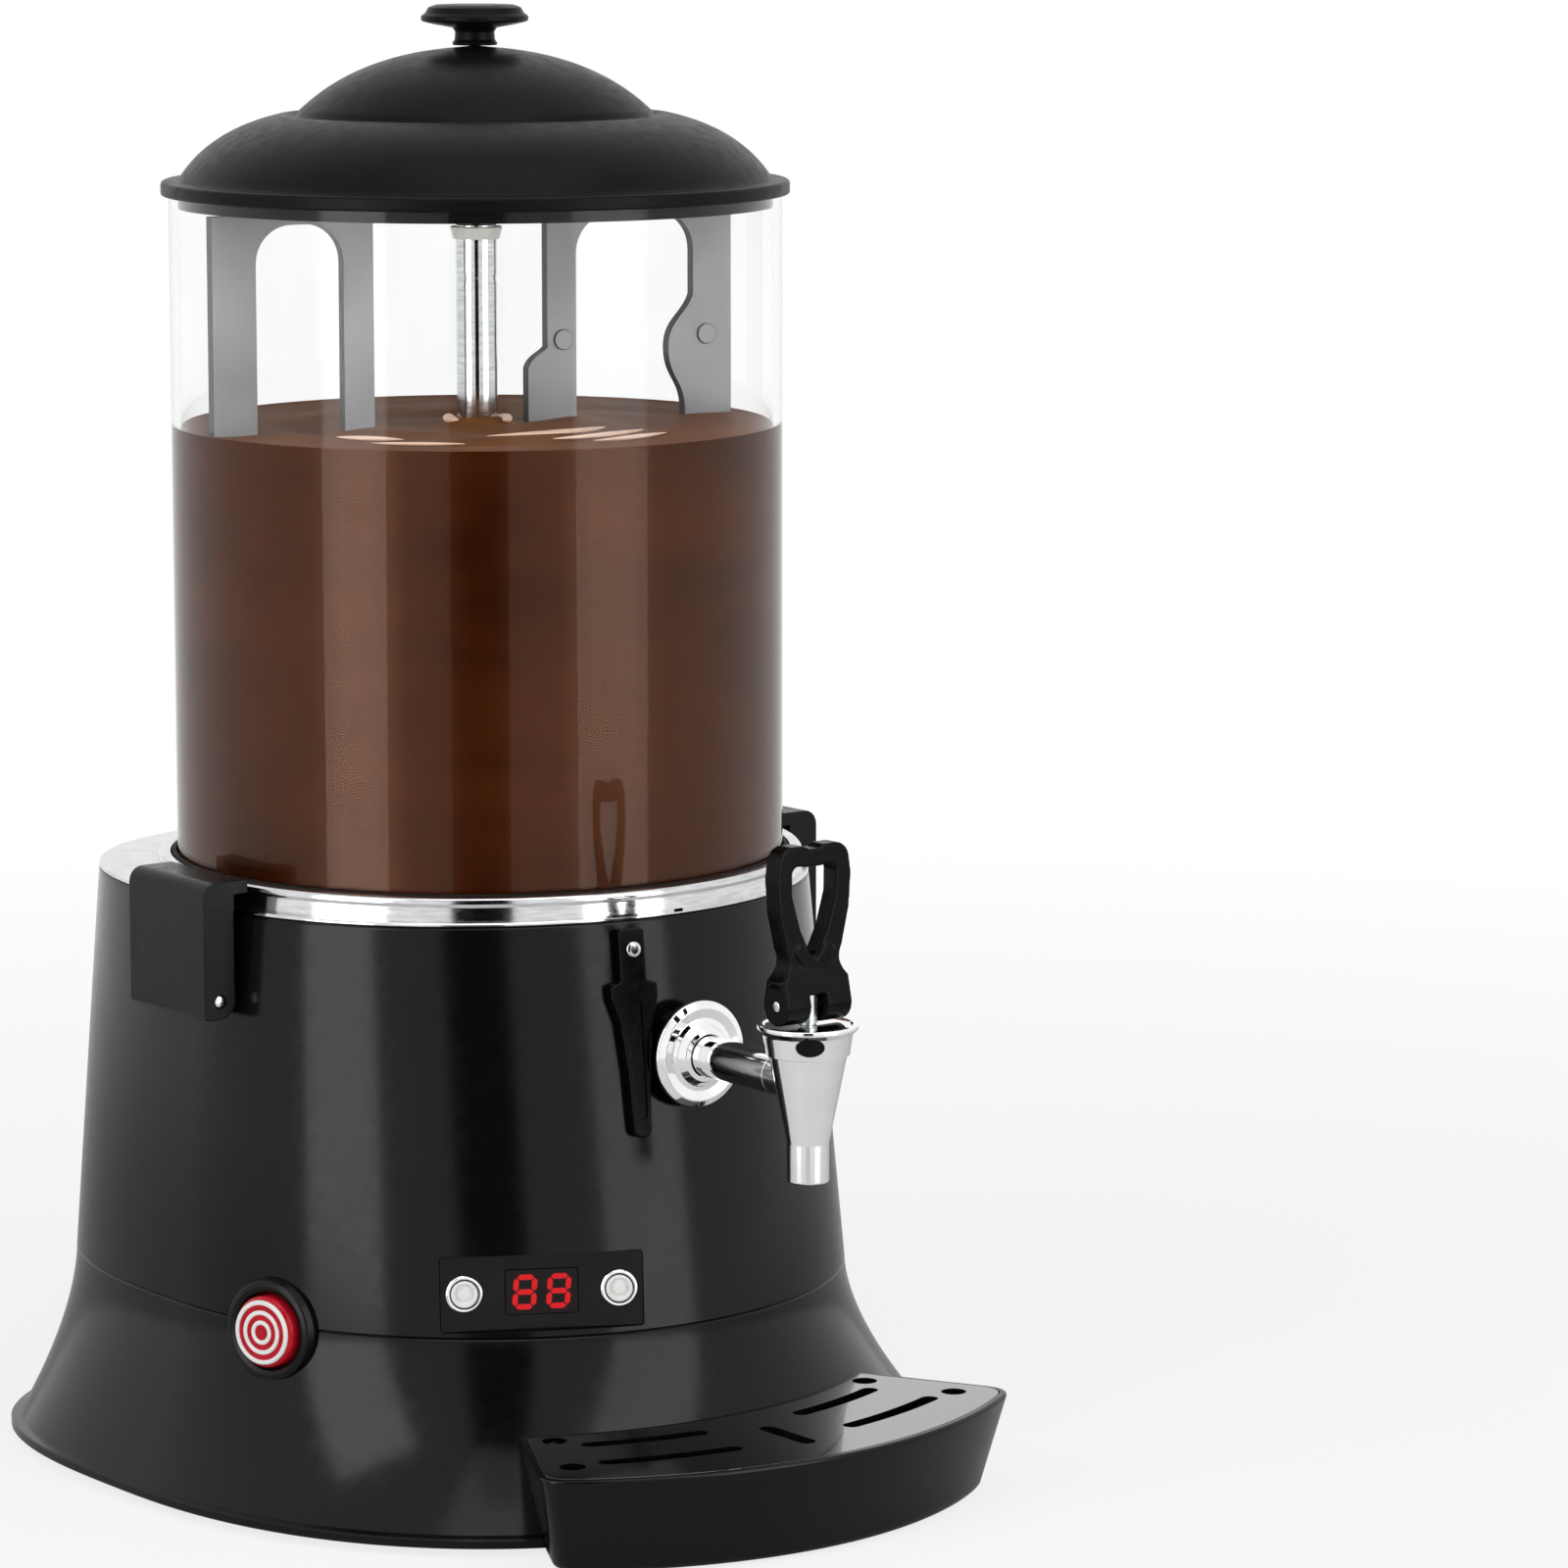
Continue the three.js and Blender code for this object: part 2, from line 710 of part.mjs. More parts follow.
function makeUpperHousing() {
  const outer = bodyOf([seamHeight, deckHeight]);
  const hollow = bodyOf([seamHeight - overrun, deckHeight - wall], -wall);
  const mouth = drum(tankRadius + 2 * running, deckHeight - wall - overrun, deckHeight + overrun, roundSteps);
  const posts = bossPlaces.map(({ x, y }) => drum(bossRadius, seamHeight,
    seamHeight + bossRise + overrun, smallSteps)
    .translate([x, y, 0]).intersect(outer));
  const bores = bossPlaces.map(({ x, y }) => drum(screwRadius + touch, footLift, seamHeight + bossRise,
    smallSteps)
    .translate([x, y, 0]));
  const faceAtTap = planAt(tapHeight).front;
  const tapBoss = bar(tapBossRadius, new THREE.Vector3(0, -faceAtTap + wall, tapHeight),
    new THREE.Vector3(0, -faceAtTap - tapBossProud, tapHeight), middleSteps);
  const pocketWall = inFrame(panelFrame, blockSkin(panelWidth + 2 * panelRim, panelTall + 2 * panelRim,
    2 * (panelThick + wall), 0, 0, 0)).intersect(outer);
  const pocket = inFrame(panelFrame, blockSkin(panelWidth + 2 * touch, panelTall + 2 * touch, seamHeight,
    0, 0, seamHeight / 2 - panelThick));
  const wiring = inFrame(panelFrame, blockSkin(panelWidth - 2 * boardMargin, panelTall - 2 * boardMargin,
    seamHeight,
    0, 0, 0));
  const louvres = Array.from({ length: louvreCount }, (_, i) => block(louvreWidth, topRear, louvreTall,
    0, topRear, louvreHeight + i * louvrePitch));
  const catchHole = inFrame(catchFrame, turnedSkin([[0, -2 * wall], [screwRadius + touch, -2 * wall],
    [screwRadius + touch, wall], [0, wall]], middleSteps));
  const shell = join(cut(outer, hollow, mouth), pocketWall, tapBoss, latchLug(-1), latchLug(1), ...posts);
  return cut(shell, ...bores, pipeHole(), pocket, wiring, powerHole(), catchHole, ...louvres,
    latchPinHole(-1), latchPinHole(1));
}

function footPlaces() {
  return [[-footSpreadX, -footFrontY], [footSpreadX, -footFrontY], [-footSpreadX, footRearY],
    [footSpreadX, footRearY]];
}

function makeBaseSheet() {
  const low = baseSheetTop - baseSheet;
  const sheet = bodyOf([low, baseSheetTop], -wall - touch);
  const feet = footPlaces().map(([x, y]) => drum(footNeckRadius + touch, low - overrun,
    baseSheetTop + overrun, smallSteps)
    .translate([x, y, 0]));
  const screws = bossPlaces.map(({ x, y }) => drum(screwRadius + touch, low - overrun,
    baseSheetTop + overrun, smallSteps)
    .translate([x, y, 0]));
  const vents = Array.from({ length: ventCount }, (_, i) => block(ventLength, ventWidth, seamHeight,
    0, seamRear / 2 + i * ventPitch, 0));
  return cut(sheet, ...feet, ...screws, ...vents);
}

function makeFoot() {
  const sheetLow = baseSheetTop - baseSheet;
  const headLow = baseSheetTop;
  const headTop = headLow + footHeadHeight;
  return turned([[0, 0], [footPadRadius - running, 0], [footPadRadius, running], [footPadRadius, sheetLow],
    [footNeckRadius, sheetLow], [footNeckRadius, headLow], [footHeadRadius, headLow], [footNeckRadius,
      headTop],
    [0, headTop]], smallSteps);
}

function makeHousingScrew() {
  const low = baseSheetTop - baseSheet;
  const tip = seamHeight + bossRise - running;
  return turned([[0, low - screwHeadHeight], [screwHeadRadius, low - screwHeadHeight], [screwHeadRadius, low],
    [screwRadius, low], [screwRadius, tip], [0, tip]], screwSteps);
}

function makeTopPlate() {
  const sheet = solid(skinThrough([planRing(deckHeight), planRing(plateTop, 0, deckHeight)]));
  const hole = drum(panRadius + running, deckHeight - overrun, plateTop + overrun, roundSteps);
  const collar = turned([[collarInner, deckHeight + plateThick / 2], [collarOuter,
    deckHeight + plateThick / 2],
    [collarOuter, plateTop + collarHeight - running], [collarOuter - running, plateTop + collarHeight],
    [collarInner, plateTop + collarHeight]]);
  return cut(join(sheet, collar, striker(-1), striker(1)), hole);
}

// The folded tab that a latch hooks over.
function striker(side) {
  const top = latchTop - latchHook - touch;
  const low = deckHeight + plateThick / 2;
  const x = side * (latchHookIn + touch + strikerThick / 2);
  return block(strikerThick, 2 * strikerHalf, top - low, x, 0, (top + low) / 2);
}

function makePan() {
  const inner = panRadius - panWall;
  const floor = panBottom + panWall;
  const pan = turned([[sleeveRadius + touch, panBottom], [panRadius - panCorner, panBottom],
    [panRadius, panBottom + panCorner], [panRadius, plateTop], [bowlRadius, plateTop], [bowlRadius,
      flangeTop],
    [inner, flangeTop], [inner, floor + panCorner - panWall / 2], [inner - panCorner + panWall / 2, floor],
    [sleeveRadius + touch, floor]]);
  return cut(pan, pipeHole());
}

function pipeHole() {
  return bar(pipeRadius + touch, new THREE.Vector3(0, -panRadius / 2, tapHeight),
    new THREE.Vector3(0, -tapReach, tapHeight), middleSteps);
}

function heaterPlaces() {
  const y = Math.sqrt(heaterRing ** 2 - heaterLegs ** 2);
  return [-1, 1].map((side) => new THREE.Vector3(side * heaterLegs, y, tankBottom));
}

function probePlace() {
  const turn = THREE.MathUtils.degToRad(probeAngle);
  return new THREE.Vector3(-Math.sin(turn), -Math.cos(turn), 0).multiplyScalar(heaterRing + heaterLegs * 2);
}

function makeTank() {
  const floor = tankBottom + tankWall;
  const tank = turned([[sleeveRadius + touch, tankBottom], [tankRadius, tankBottom], [tankRadius, deckHeight],
    [tankRadius - tankWall, deckHeight], [tankRadius - tankWall, floor], [sleeveRadius + touch, floor]]);
  const legs = heaterPlaces().map(({ x, y }) => drum(heaterTube + touch, tankBottom - overrun,
    floor + overrun, smallSteps)
    .translate([x, y, 0]));
  const place = probePlace();
  const probe = drum(probeRadius + touch, tankBottom - overrun, floor + overrun,
    smallSteps).translate([place.x, place.y, 0]);
  return cut(tank, pipeHole(), probe, ...legs);
}

// The heater is one bent tube: a ring in the water with both ends turned down through the tank's floor.
class HeaterPath extends THREE.Curve {
  getPoint(share, target = new THREE.Vector3()) {
    const leg = heaterLift + heaterLegDrop;
    const sweep = 2 * Math.PI - 2 * Math.asin(heaterLegs / heaterRing);
    const around = sweep * heaterRing;
    const total = around + 2 * leg;
    const run = share * total;
    const start = Math.asin(heaterLegs / heaterRing);
    const top = tankBottom + heaterLift;
    const out = run < leg ? 0 : Math.min((run - leg) / heaterRing, sweep);
    const drop = run < leg ? leg - run : Math.max(run - leg - around, 0);
    const turn = start + out;
    return target.set(-heaterRing * Math.sin(turn), heaterRing * Math.cos(turn), top - drop);
  }
}

function makeHeater() {
  const section = new THREE.Shape().absarc(0, 0, heaterTube, 0, 2 * Math.PI, false);
  const extrudePath = new HeaterPath();
  return solid(new THREE.ExtrudeGeometry(section, { steps: heaterSteps, extrudePath, bevelEnabled: false,
    curveSegments: 4 }));
}

// One clamp bar under the tank's floor holds both ends of the heater.
function makeHeaterClamp() {
  const low = tankBottom - heaterClampThick;
  const clamp = block(2 * (heaterLegs + heaterClampMargin), 2 * heaterClampMargin, heaterClampThick,
    0, heaterPlaces()[0].y, low + heaterClampThick / 2);
  const legs = heaterPlaces().map(({ x, y }) => drum(heaterTube + touch, 0, tankBottom + overrun,
    smallSteps).translate([x, y, 0]));
  return cut(clamp, ...legs);
}

function makeProbe() {
  const place = probePlace();
  return turned([[0, tankBottom - probeLength / 2], [probeRadius * 2, tankBottom - probeLength / 2],
    [probeRadius * 2, tankBottom], [probeRadius, tankBottom], [probeRadius,
      tankBottom + probeLength - running],
    [0, tankBottom + probeLength]], middleSteps).translate([place.x, place.y, 0]);
}

function makeShaftSeal() {
  const bore = driveRadius + touch;
  return turned([[bore, sleeveTop - sealDepth], [sleeveBore - touch, sleeveTop - sealDepth],
    [sleeveBore - touch, sleeveTop], [sealLip, sleeveTop], [sealLip, sleeveTop + sealHeight / 2],
    [bore + running, sleeveTop + sealHeight], [bore, sleeveTop + sealHeight]], middleSteps);
}

const driveBottom = gearboxTop - socketDepth;
const driveTop = shaftBottom + socketDepth;
const drivePinHeight = driveTop - socketDepth / 4;

function drivePinAlong(radius) {
  const turn = THREE.MathUtils.degToRad(wingAngle);
  const reach = shaftRadius - touch;
  const end = new THREE.Vector3(Math.cos(turn), Math.sin(turn), 0).multiplyScalar(reach).setZ(drivePinHeight);
  return bar(radius, end.clone().negate().setZ(drivePinHeight), end, smallSteps);
}

function makeDriveShaft() {
  return cut(drum(driveRadius, driveBottom, driveTop), drivePinAlong(drivePinRadius + touch));
}

function makeStirrerShaft() {
  const socket = driveRadius + touch;
  const shaft = turned([[socket, shaftBottom], [shaftRadius, shaftBottom], [shaftRadius, shaftTop],
    [shaftPinRadius, shaftTop], [shaftPinRadius - running, shaftTop + shaftPinHeight],
    [0, shaftTop + shaftPinHeight], [0, driveTop + touch], [socket, driveTop + touch]], middleSteps);
  const turn = THREE.MathUtils.degToRad(wingAngle);
  const end = new THREE.Vector3(Math.cos(turn), Math.sin(turn), 0).multiplyScalar(hubRadius);
  const hole = bar(drivePinRadius + touch, end.clone().negate().setZ(drivePinHeight),
    end.clone().setZ(drivePinHeight), smallSteps);
  return cut(shaft, hole);
}

// One wing, drawn in radius and height: a foot arm, an outer strip, a bridge and an inner strip.
function wingOutline() {
  const widen = bowlBottom + collarHeight;
  const shape = new THREE.Shape();
  shape.moveTo(shaftRadius, wingFoot);
  shape.lineTo(wingPanReach - wingCorner, wingFoot);
  shape.quadraticCurveTo(wingPanReach, wingFoot, wingPanReach, wingFoot + wingCorner);
  shape.lineTo(wingPanReach, widen - wingCorner);
  shape.bezierCurveTo(wingPanReach, widen, wingOuter, widen, wingOuter, widen + wingCorner);
  shape.lineTo(wingOuter, wingTop);
  shape.lineTo(wingInner, wingTop);
  shape.lineTo(wingInner, wingFoot + wingArm);
  shape.lineTo(shaftRadius, wingFoot + wingArm);
  return shape;
}

function wingWindow() {
  const left = wingInner + wingInnerStrip;
  const right = wingOuter - wingOuterStrip;
  const low = bowlBottom + 2 * collarHeight;
  const high = wingTop - wingBridge;
  const window = new THREE.Shape();
  window.moveTo(left + wingCorner, low);
  window.lineTo(right - wingCorner, low);
  window.quadraticCurveTo(right, low, right, low + wingCorner);
  window.lineTo(right, high - wingCorner);
  window.quadraticCurveTo(right, high, right - wingCorner, high);
  window.lineTo(left + wingCorner, high);
  window.quadraticCurveTo(left, high, left, high - wingCorner);
  window.lineTo(left, low + wingCorner);
  window.quadraticCurveTo(left, low, left + wingCorner, low);
  return window;
}

// The rounded swellings on the edges of the second wing, with the small round bosses beside them.
function wingSwellings() {
  const outerEdge = wingOuter - wingOuterStrip;
  const swell = new THREE.Shape();
  swell.moveTo(outerEdge + running, wingBumpHeight + wingBumpSpan);
  swell.bezierCurveTo(outerEdge, wingBumpHeight + wingBumpSpan / 2, outerEdge - wingBumpOut,
    wingBumpHeight + wingBumpSpan / 2, outerEdge - wingBumpOut, wingBumpHeight);
  swell.bezierCurveTo(outerEdge - wingBumpOut, wingBumpHeight - wingBumpSpan / 2, outerEdge - wingBumpOut / 3,
    wingBumpHeight - wingBumpSpan / 2, outerEdge - wingBumpOut / 3, wingBumpHeight - wingBumpSpan);
  swell.lineTo(outerEdge - wingBumpOut / 2, wingBumpHeight - 2 * wingBumpSpan);
  swell.lineTo(outerEdge + running, wingBumpHeight - 3 * wingBumpSpan);
  const innerEdge = wingInner;
  const step = new THREE.Shape();
  step.moveTo(innerEdge + running, wingBumpHeight + wingBumpSpan / 2);
  step.quadraticCurveTo(innerEdge, wingBumpHeight, innerEdge - wingBumpOut,
    wingBumpHeight - wingBumpSpan / 2);
  step.lineTo(innerEdge - wingBumpOut, wingBumpHeight - 3 * wingBumpSpan);
  step.lineTo(innerEdge + running, wingBumpHeight - 4 * wingBumpSpan);
  return [swell, step];
}

function makePaddle() {
  const half = wingThick / 2;
  const upright = (outline, low = -half, high = half) => solid(prismSkin(outline, low,
    high).rotateX(Math.PI / 2));
  const wing = () => cut(upright(wingOutline()), upright(wingWindow(), -wingThick, wingThick));
  const swellings = wingSwellings().map((outline) => upright(outline));
  const bossX = [wingOuter - wingOuterStrip / 2 - running, wingInner + wingInnerStrip / 2];
  const bosses = bossX.map((x) => upright(new THREE.Shape()
    .absarc(x, wingBumpHeight + wingBumpSpan / 2, wingBossRadius, 0, 2 * Math.PI, false), half - overrun,
      half + wingBossProud));
  const hub = drum(hubRadius, wingFoot, wingFoot + hubHeight, middleSteps);
  const bore = drum(shaftRadius + touch, wingFoot - overrun, wingFoot + hubHeight + overrun, middleSteps);
  const second = join(wing(), ...swellings, ...bosses);
  const first = wing().rotate([0, 0, 180]);
  const paddle = cut(join(first, second, hub), bore);
  return paddle.rotate([0, 0, wingAngle - 180]);
}

function makeShaftCap() {
  const low = shaftTop - capHeight - running;
  return turned([[shaftRadius + touch, low], [shaftRadius + running, low], [capRadius, low + capHeight],
    [shaftRadius + touch, low + capHeight]], middleSteps);
}

function makeGearmotor() {
  const low = gearboxTop - gearboxHeight;
  const box = block(2 * gearboxHalf, gearboxDeep, gearboxHeight, 0, motorOffset, low + gearboxHeight / 2);
  const boss = drum(motorBoss, gearboxTop - overrun, bracketTop);
  const can = turned([[0, low - motorLength], [motorRadius - running, low - motorLength],
    [motorRadius, low - motorLength + running], [motorRadius, low + overrun], [0, low + overrun]],
      middleSteps)
    .translate([0, motorOffset, 0]);
  const neck = drum(driveRadius + running, driveBottom - touch, bracketTop + overrun);
  const screws = motorScrewPlaces().map(([, x, y]) => drum(motorScrewRadius + touch,
    gearboxTop - gearboxHeight / 2,
    gearboxTop + overrun, smallSteps).translate([x, y, 0]));
  return cut(join(box, boss, can), neck, ...screws);
}

function motorScrewPlaces() {
  return [['left', -motorScrewSpread], ['right', motorScrewSpread]].map(([side, x]) => [side, x,
    motorOffset]);
}

function makeMotorScrew() {
  const tip = gearboxTop - gearboxHeight / 2 + running;
  return turned([[0, tip], [motorScrewRadius, tip], [motorScrewRadius, bracketTop], [motorScrewHead,
    bracketTop],
    [motorScrewHead, bracketTop + motorScrewRadius], [0, bracketTop + motorScrewRadius]], smallSteps);
}

// A bent strap standing on the base sheet: two feet, two legs and a top.
function makeBracket() {
  const low = baseSheetTop;
  const inner = bracketHalf - bracketGauge;
  const outline = [[-bracketHalf - bracketFoot, low], [-inner, low], [-inner, gearboxTop], [inner,
    gearboxTop],
    [inner, low], [bracketHalf + bracketFoot, low], [bracketHalf + bracketFoot, low + bracketGauge],
    [bracketHalf, low + bracketGauge], [bracketHalf, bracketTop], [-bracketHalf, bracketTop],
    [-bracketHalf, low + bracketGauge], [-bracketHalf - bracketFoot, low + bracketGauge]];
  const strap = solid(prismSkin(outline, -bracketDeep / 2 - motorOffset, bracketDeep / 2 - motorOffset)
    .rotateX(Math.PI / 2));
  const hole = drum(motorBoss + touch, gearboxTop - overrun, bracketTop + overrun);
  const screws = motorScrewPlaces().map(([, x, y]) => drum(motorScrewRadius + touch, gearboxTop - overrun,
    bracketTop + overrun, screwSteps).translate([x, y, 0]));
  return cut(strap, hole, ...screws);
}

function makeBowl() {
  return turned([[bowlInner, bowlBottom], [bowlRadius + bowlFootOut, bowlBottom],
    [bowlRadius + bowlFootOut, bowlBottom + bowlFootHeight], [bowlRadius, bowlBottom + bowlFootHeight],
    [bowlRadius, bowlTop - running], [bowlRadius - running, bowlTop], [bowlInner, bowlTop]]);
}

// Points on an arc that leaves the outer end steeply and arrives flat at the inner end.
function domeArc(outer, low, inner, high, count, bulgeShare) {
  return Array.from({ length: count + 1 }, (_, i) => {
    const turn = Math.PI / 2 * i / count;
    const share = Math.sin(turn) ** bulgeShare;
    return [inner + (outer - inner) * Math.cos(turn), low + (high - low) * share];
  });
}

function lidOuterProfile() {
  const shoulder = lidSeat + lidShoulderRise + lidThick;
  const step = shoulder + lidStepRise;
  const lower = domeArc(lidShoulder, shoulder, lidStepRadius, step, lidOuterSteps, lidBulgeShare);
  const crown = domeArc(lidStepRadius - lidGroove, step, lidCrownFlat, lidTop, lidOuterSteps, 1);
  return [[lidRim - running, lidBase], [lidRim, lidBase + running], [lidRim,
    lidBase + lidRimHeight - running],
    [lidRim - running, lidBase + lidRimHeight], [lidShoulder + running, shoulder - lidShoulderRise / 2],
      ...lower, ...crown];
}

function lidInnerProfile() {
  const shoulder = lidSeat + lidShoulderRise;
  const step = shoulder + lidStepRise;
  const lower = domeArc(lidShoulder - lidThick, shoulder, lidStepRadius - lidThick, step, lidInnerSteps,
    lidBulgeShare);
  const crown = domeArc(lidStepRadius - lidGroove - lidThick, step, lidCrownFlat, lidTop - lidThick,
    lidInnerSteps, 1);
  return [...crown.reverse(), ...lower.reverse()];
}

function makeLid() {
  const skirtOuter = bowlInner - touch;
  const skirtInner = skirtOuter - lidSkirtThick;
  const under = [[skirtInner, lidSeat], [skirtInner, lidSeat - lidSkirtDrop], [skirtOuter,
    lidSeat - lidSkirtDrop],
    [skirtOuter, lidSeat], [bowlRadius + 2 * touch, lidSeat], [bowlRadius + 2 * touch, lidBase]];
  const shell = turned([[0, lidTop], ...[...lidOuterProfile()].reverse(), ...[...under].reverse(),
    ...[...lidInnerProfile()].reverse(), [0, lidTop - lidThick]]);
  const bossLow = shaftTop + running;
  const boss = drum(lidBossRadius, bossLow, lidTop - lidThick / 2);
  const socket = drum(shaftPinRadius + touch, bossLow - overrun, shaftTop + shaftPinHeight + running);
  return cut(shell.add(boss), socket);
}

function makeKnob() {
  const stemTop = lidTop + knobStem;
  const top = stemTop + knobThick;
  const waist = knobStemRadius * knobWaistShare;
  return turned([[0, lidTop], [knobStemRadius, lidTop], [waist, lidTop + knobStem / 3], [waist,
    stemTop - knobStem / 3],
    [knobStemRadius, stemTop], [knobRadius - knobThick / 2, stemTop + knobThick / 5], [knobRadius,
      stemTop + knobThick / 3],
    [knobRadius - running, top - knobThick / 3], [knobRadius - knobThick / 2, top - knobThick / 10],
    [knobRadius / 2, top], [0, top]], middleSteps);
}

const tapFace = planAt(tapHeight).front + tapBossProud;
const tapNutFace = tapFace + tapNutThick;
const tapFlangeFace = tapNutFace + tapFlangeThick;
const tapBodyFace = tapReach - chamberRadius - nozzleRadius;

function alongTap(geometry) {
  return solid(geometry.rotateX(Math.PI / 2).translate(0, 0, tapHeight));
}

function makeTapNut() {
  const nut = alongTap(prismSkin(hexagon(tapNutAcross), tapFace, tapNutFace));
  return cut(nut, pipeHole());
}

function makeTapFlange() {
  const bore = pipeRadius + touch;
  return alongTap(turnedSkin([[bore, tapNutFace], [tapFlangeRadius, tapNutFace],
    [tapFlangeRadius, tapNutFace + tapFlangeThick / 2], [tapFlangeRadius - tapFlangeThick, tapFlangeFace],
    [bore + pipeRadius / 2, tapFlangeFace], [bore, tapFlangeFace + tapFlangeThick]], middleSteps));
}

const panInnerFace = panRadius - panWall;

function makePanNut() {
  const face = panInnerFace - panNutGap;
  return cut(alongTap(prismSkin(hexagon(panNutAcross), face - panNutThick, face)), pipeHole());
}

function makeTapShank() {
  return alongTap(turnedSkin([[pipeBore, panInnerFace - pipeInside], [pipeRadius, panInnerFace - pipeInside],
    [pipeRadius, tapBodyFace], [pipeBore, tapBodyFace]], middleSteps));
}

function makeTapBody() {
  const mouth = nozzleBottom + running;
  const outside = turned([[0, nozzleBottom], [nozzleRadius - running, nozzleBottom], [nozzleRadius, mouth],
    [nozzleRadius, nozzleTop], [coneRadius, coneTop], [0, coneTop]], middleSteps);
  const chamber = drum(chamberRadius, seatHeight, coneTop + overrun, middleSteps);
  const throat = drum(pipeBore, nozzleBottom - overrun, seatHeight + overrun);
  const stub = bar(pipeRadius, new THREE.Vector3(0, tapReach - tapBodyFace, tapHeight),
    new THREE.Vector3(0, 0, tapHeight));
  const bore = bar(pipeBore, new THREE.Vector3(0, tapReach, tapHeight), new THREE.Vector3(0, 0, tapHeight));
  return cut(outside.add(stub), chamber, throat, bore).translate([0, -tapReach, 0]);
}

function makeBonnet() {
  const plug = chamberRadius - touch;
  const bonnet = turned([[stemRadius + touch, coneTop - bonnetPlug], [plug, coneTop - bonnetPlug], [plug,
    coneTop],
    [coneRadius + running, coneTop], [bonnetRadius - running, bonnetTop - 2 * running], [bonnetRadius,
      bonnetTop - running],
    [bonnetRadius - running, bonnetTop], [stemRadius + touch, bonnetTop]], middleSteps);
  const window = solid(turnedSkin([[0, 0], [bonnetWindowHeight / 2, 0], [bonnetWindowHeight / 2,
    2 * bonnetWindowDeep],
    [0, 2 * bonnetWindowDeep]], middleSteps).scale(bonnetWindowWidth / bonnetWindowHeight, 1,
      1).rotateX(Math.PI / 2)
    .translate(0, -coneRadius, (coneTop + bonnetTop) / 2));
  return cut(bonnet, window).translate([0, -tapReach, 0]);
}

function makeStem() {
  const low = seatHeight + cupClear;
  const eye = bar(leverPinRadius + touch, new THREE.Vector3(-leverSlot, 0, pivotHeight),
    new THREE.Vector3(leverSlot, 0, pivotHeight), smallSteps);
  const foot = drum(stemRadius, low + cupHeight / 2, pivotHeight, middleSteps);
  const head = drum(leverSlot / 2 - touch, bonnetTop + touch, pivotHeight + leverPinRadius + running,
    middleSteps);
  return cut(foot.add(head), eye).translate([0, -tapReach, 0]);
}

function makeSeatCup() {
  const low = seatHeight + touch;
  const radius = chamberRadius - 2 * running;
  const cup = turned([[0, low], [radius - running, low], [radius, low + running], [radius - running,
    low + cupHeight],
    [0, low + cupHeight]], smallSteps);
  const socket = drum(stemRadius + touch, low + cupHeight / 2, low + cupHeight + overrun, middleSteps);
  return cut(cup, socket).translate([0, -tapReach, 0]);
}

class SpringPath extends THREE.Curve {
  getPoint(share, target = new THREE.Vector3()) {
    const low = seatHeight + touch + cupHeight + springWire + touch;
    const high = coneTop - bonnetPlug - springWire - touch;
    const turn = 2 * Math.PI * springTurns * share;
    const radius = stemRadius + 2 * running;
    return target.set(radius * Math.cos(turn), radius * Math.sin(turn), low + (high - low) * share);
  }
}

function makeSpring() {
  const section = new THREE.Shape().absarc(0, 0, springWire, 0, 2 * Math.PI, false);
  const extrudePath = new SpringPath();
  const geometry = new THREE.ExtrudeGeometry(section, { steps: springTurns * springTurnSteps,
    extrudePath, bevelEnabled: false, curveSegments: 3 });
  return solid(geometry).translate([0, -tapReach, 0]);
}

function makeLeverPin() {
  const reach = leverHubWidth / 2;
  return bar(leverPinRadius, new THREE.Vector3(-reach, -tapReach, pivotHeight),
    new THREE.Vector3(reach, -tapReach, pivotHeight), smallSteps);
}

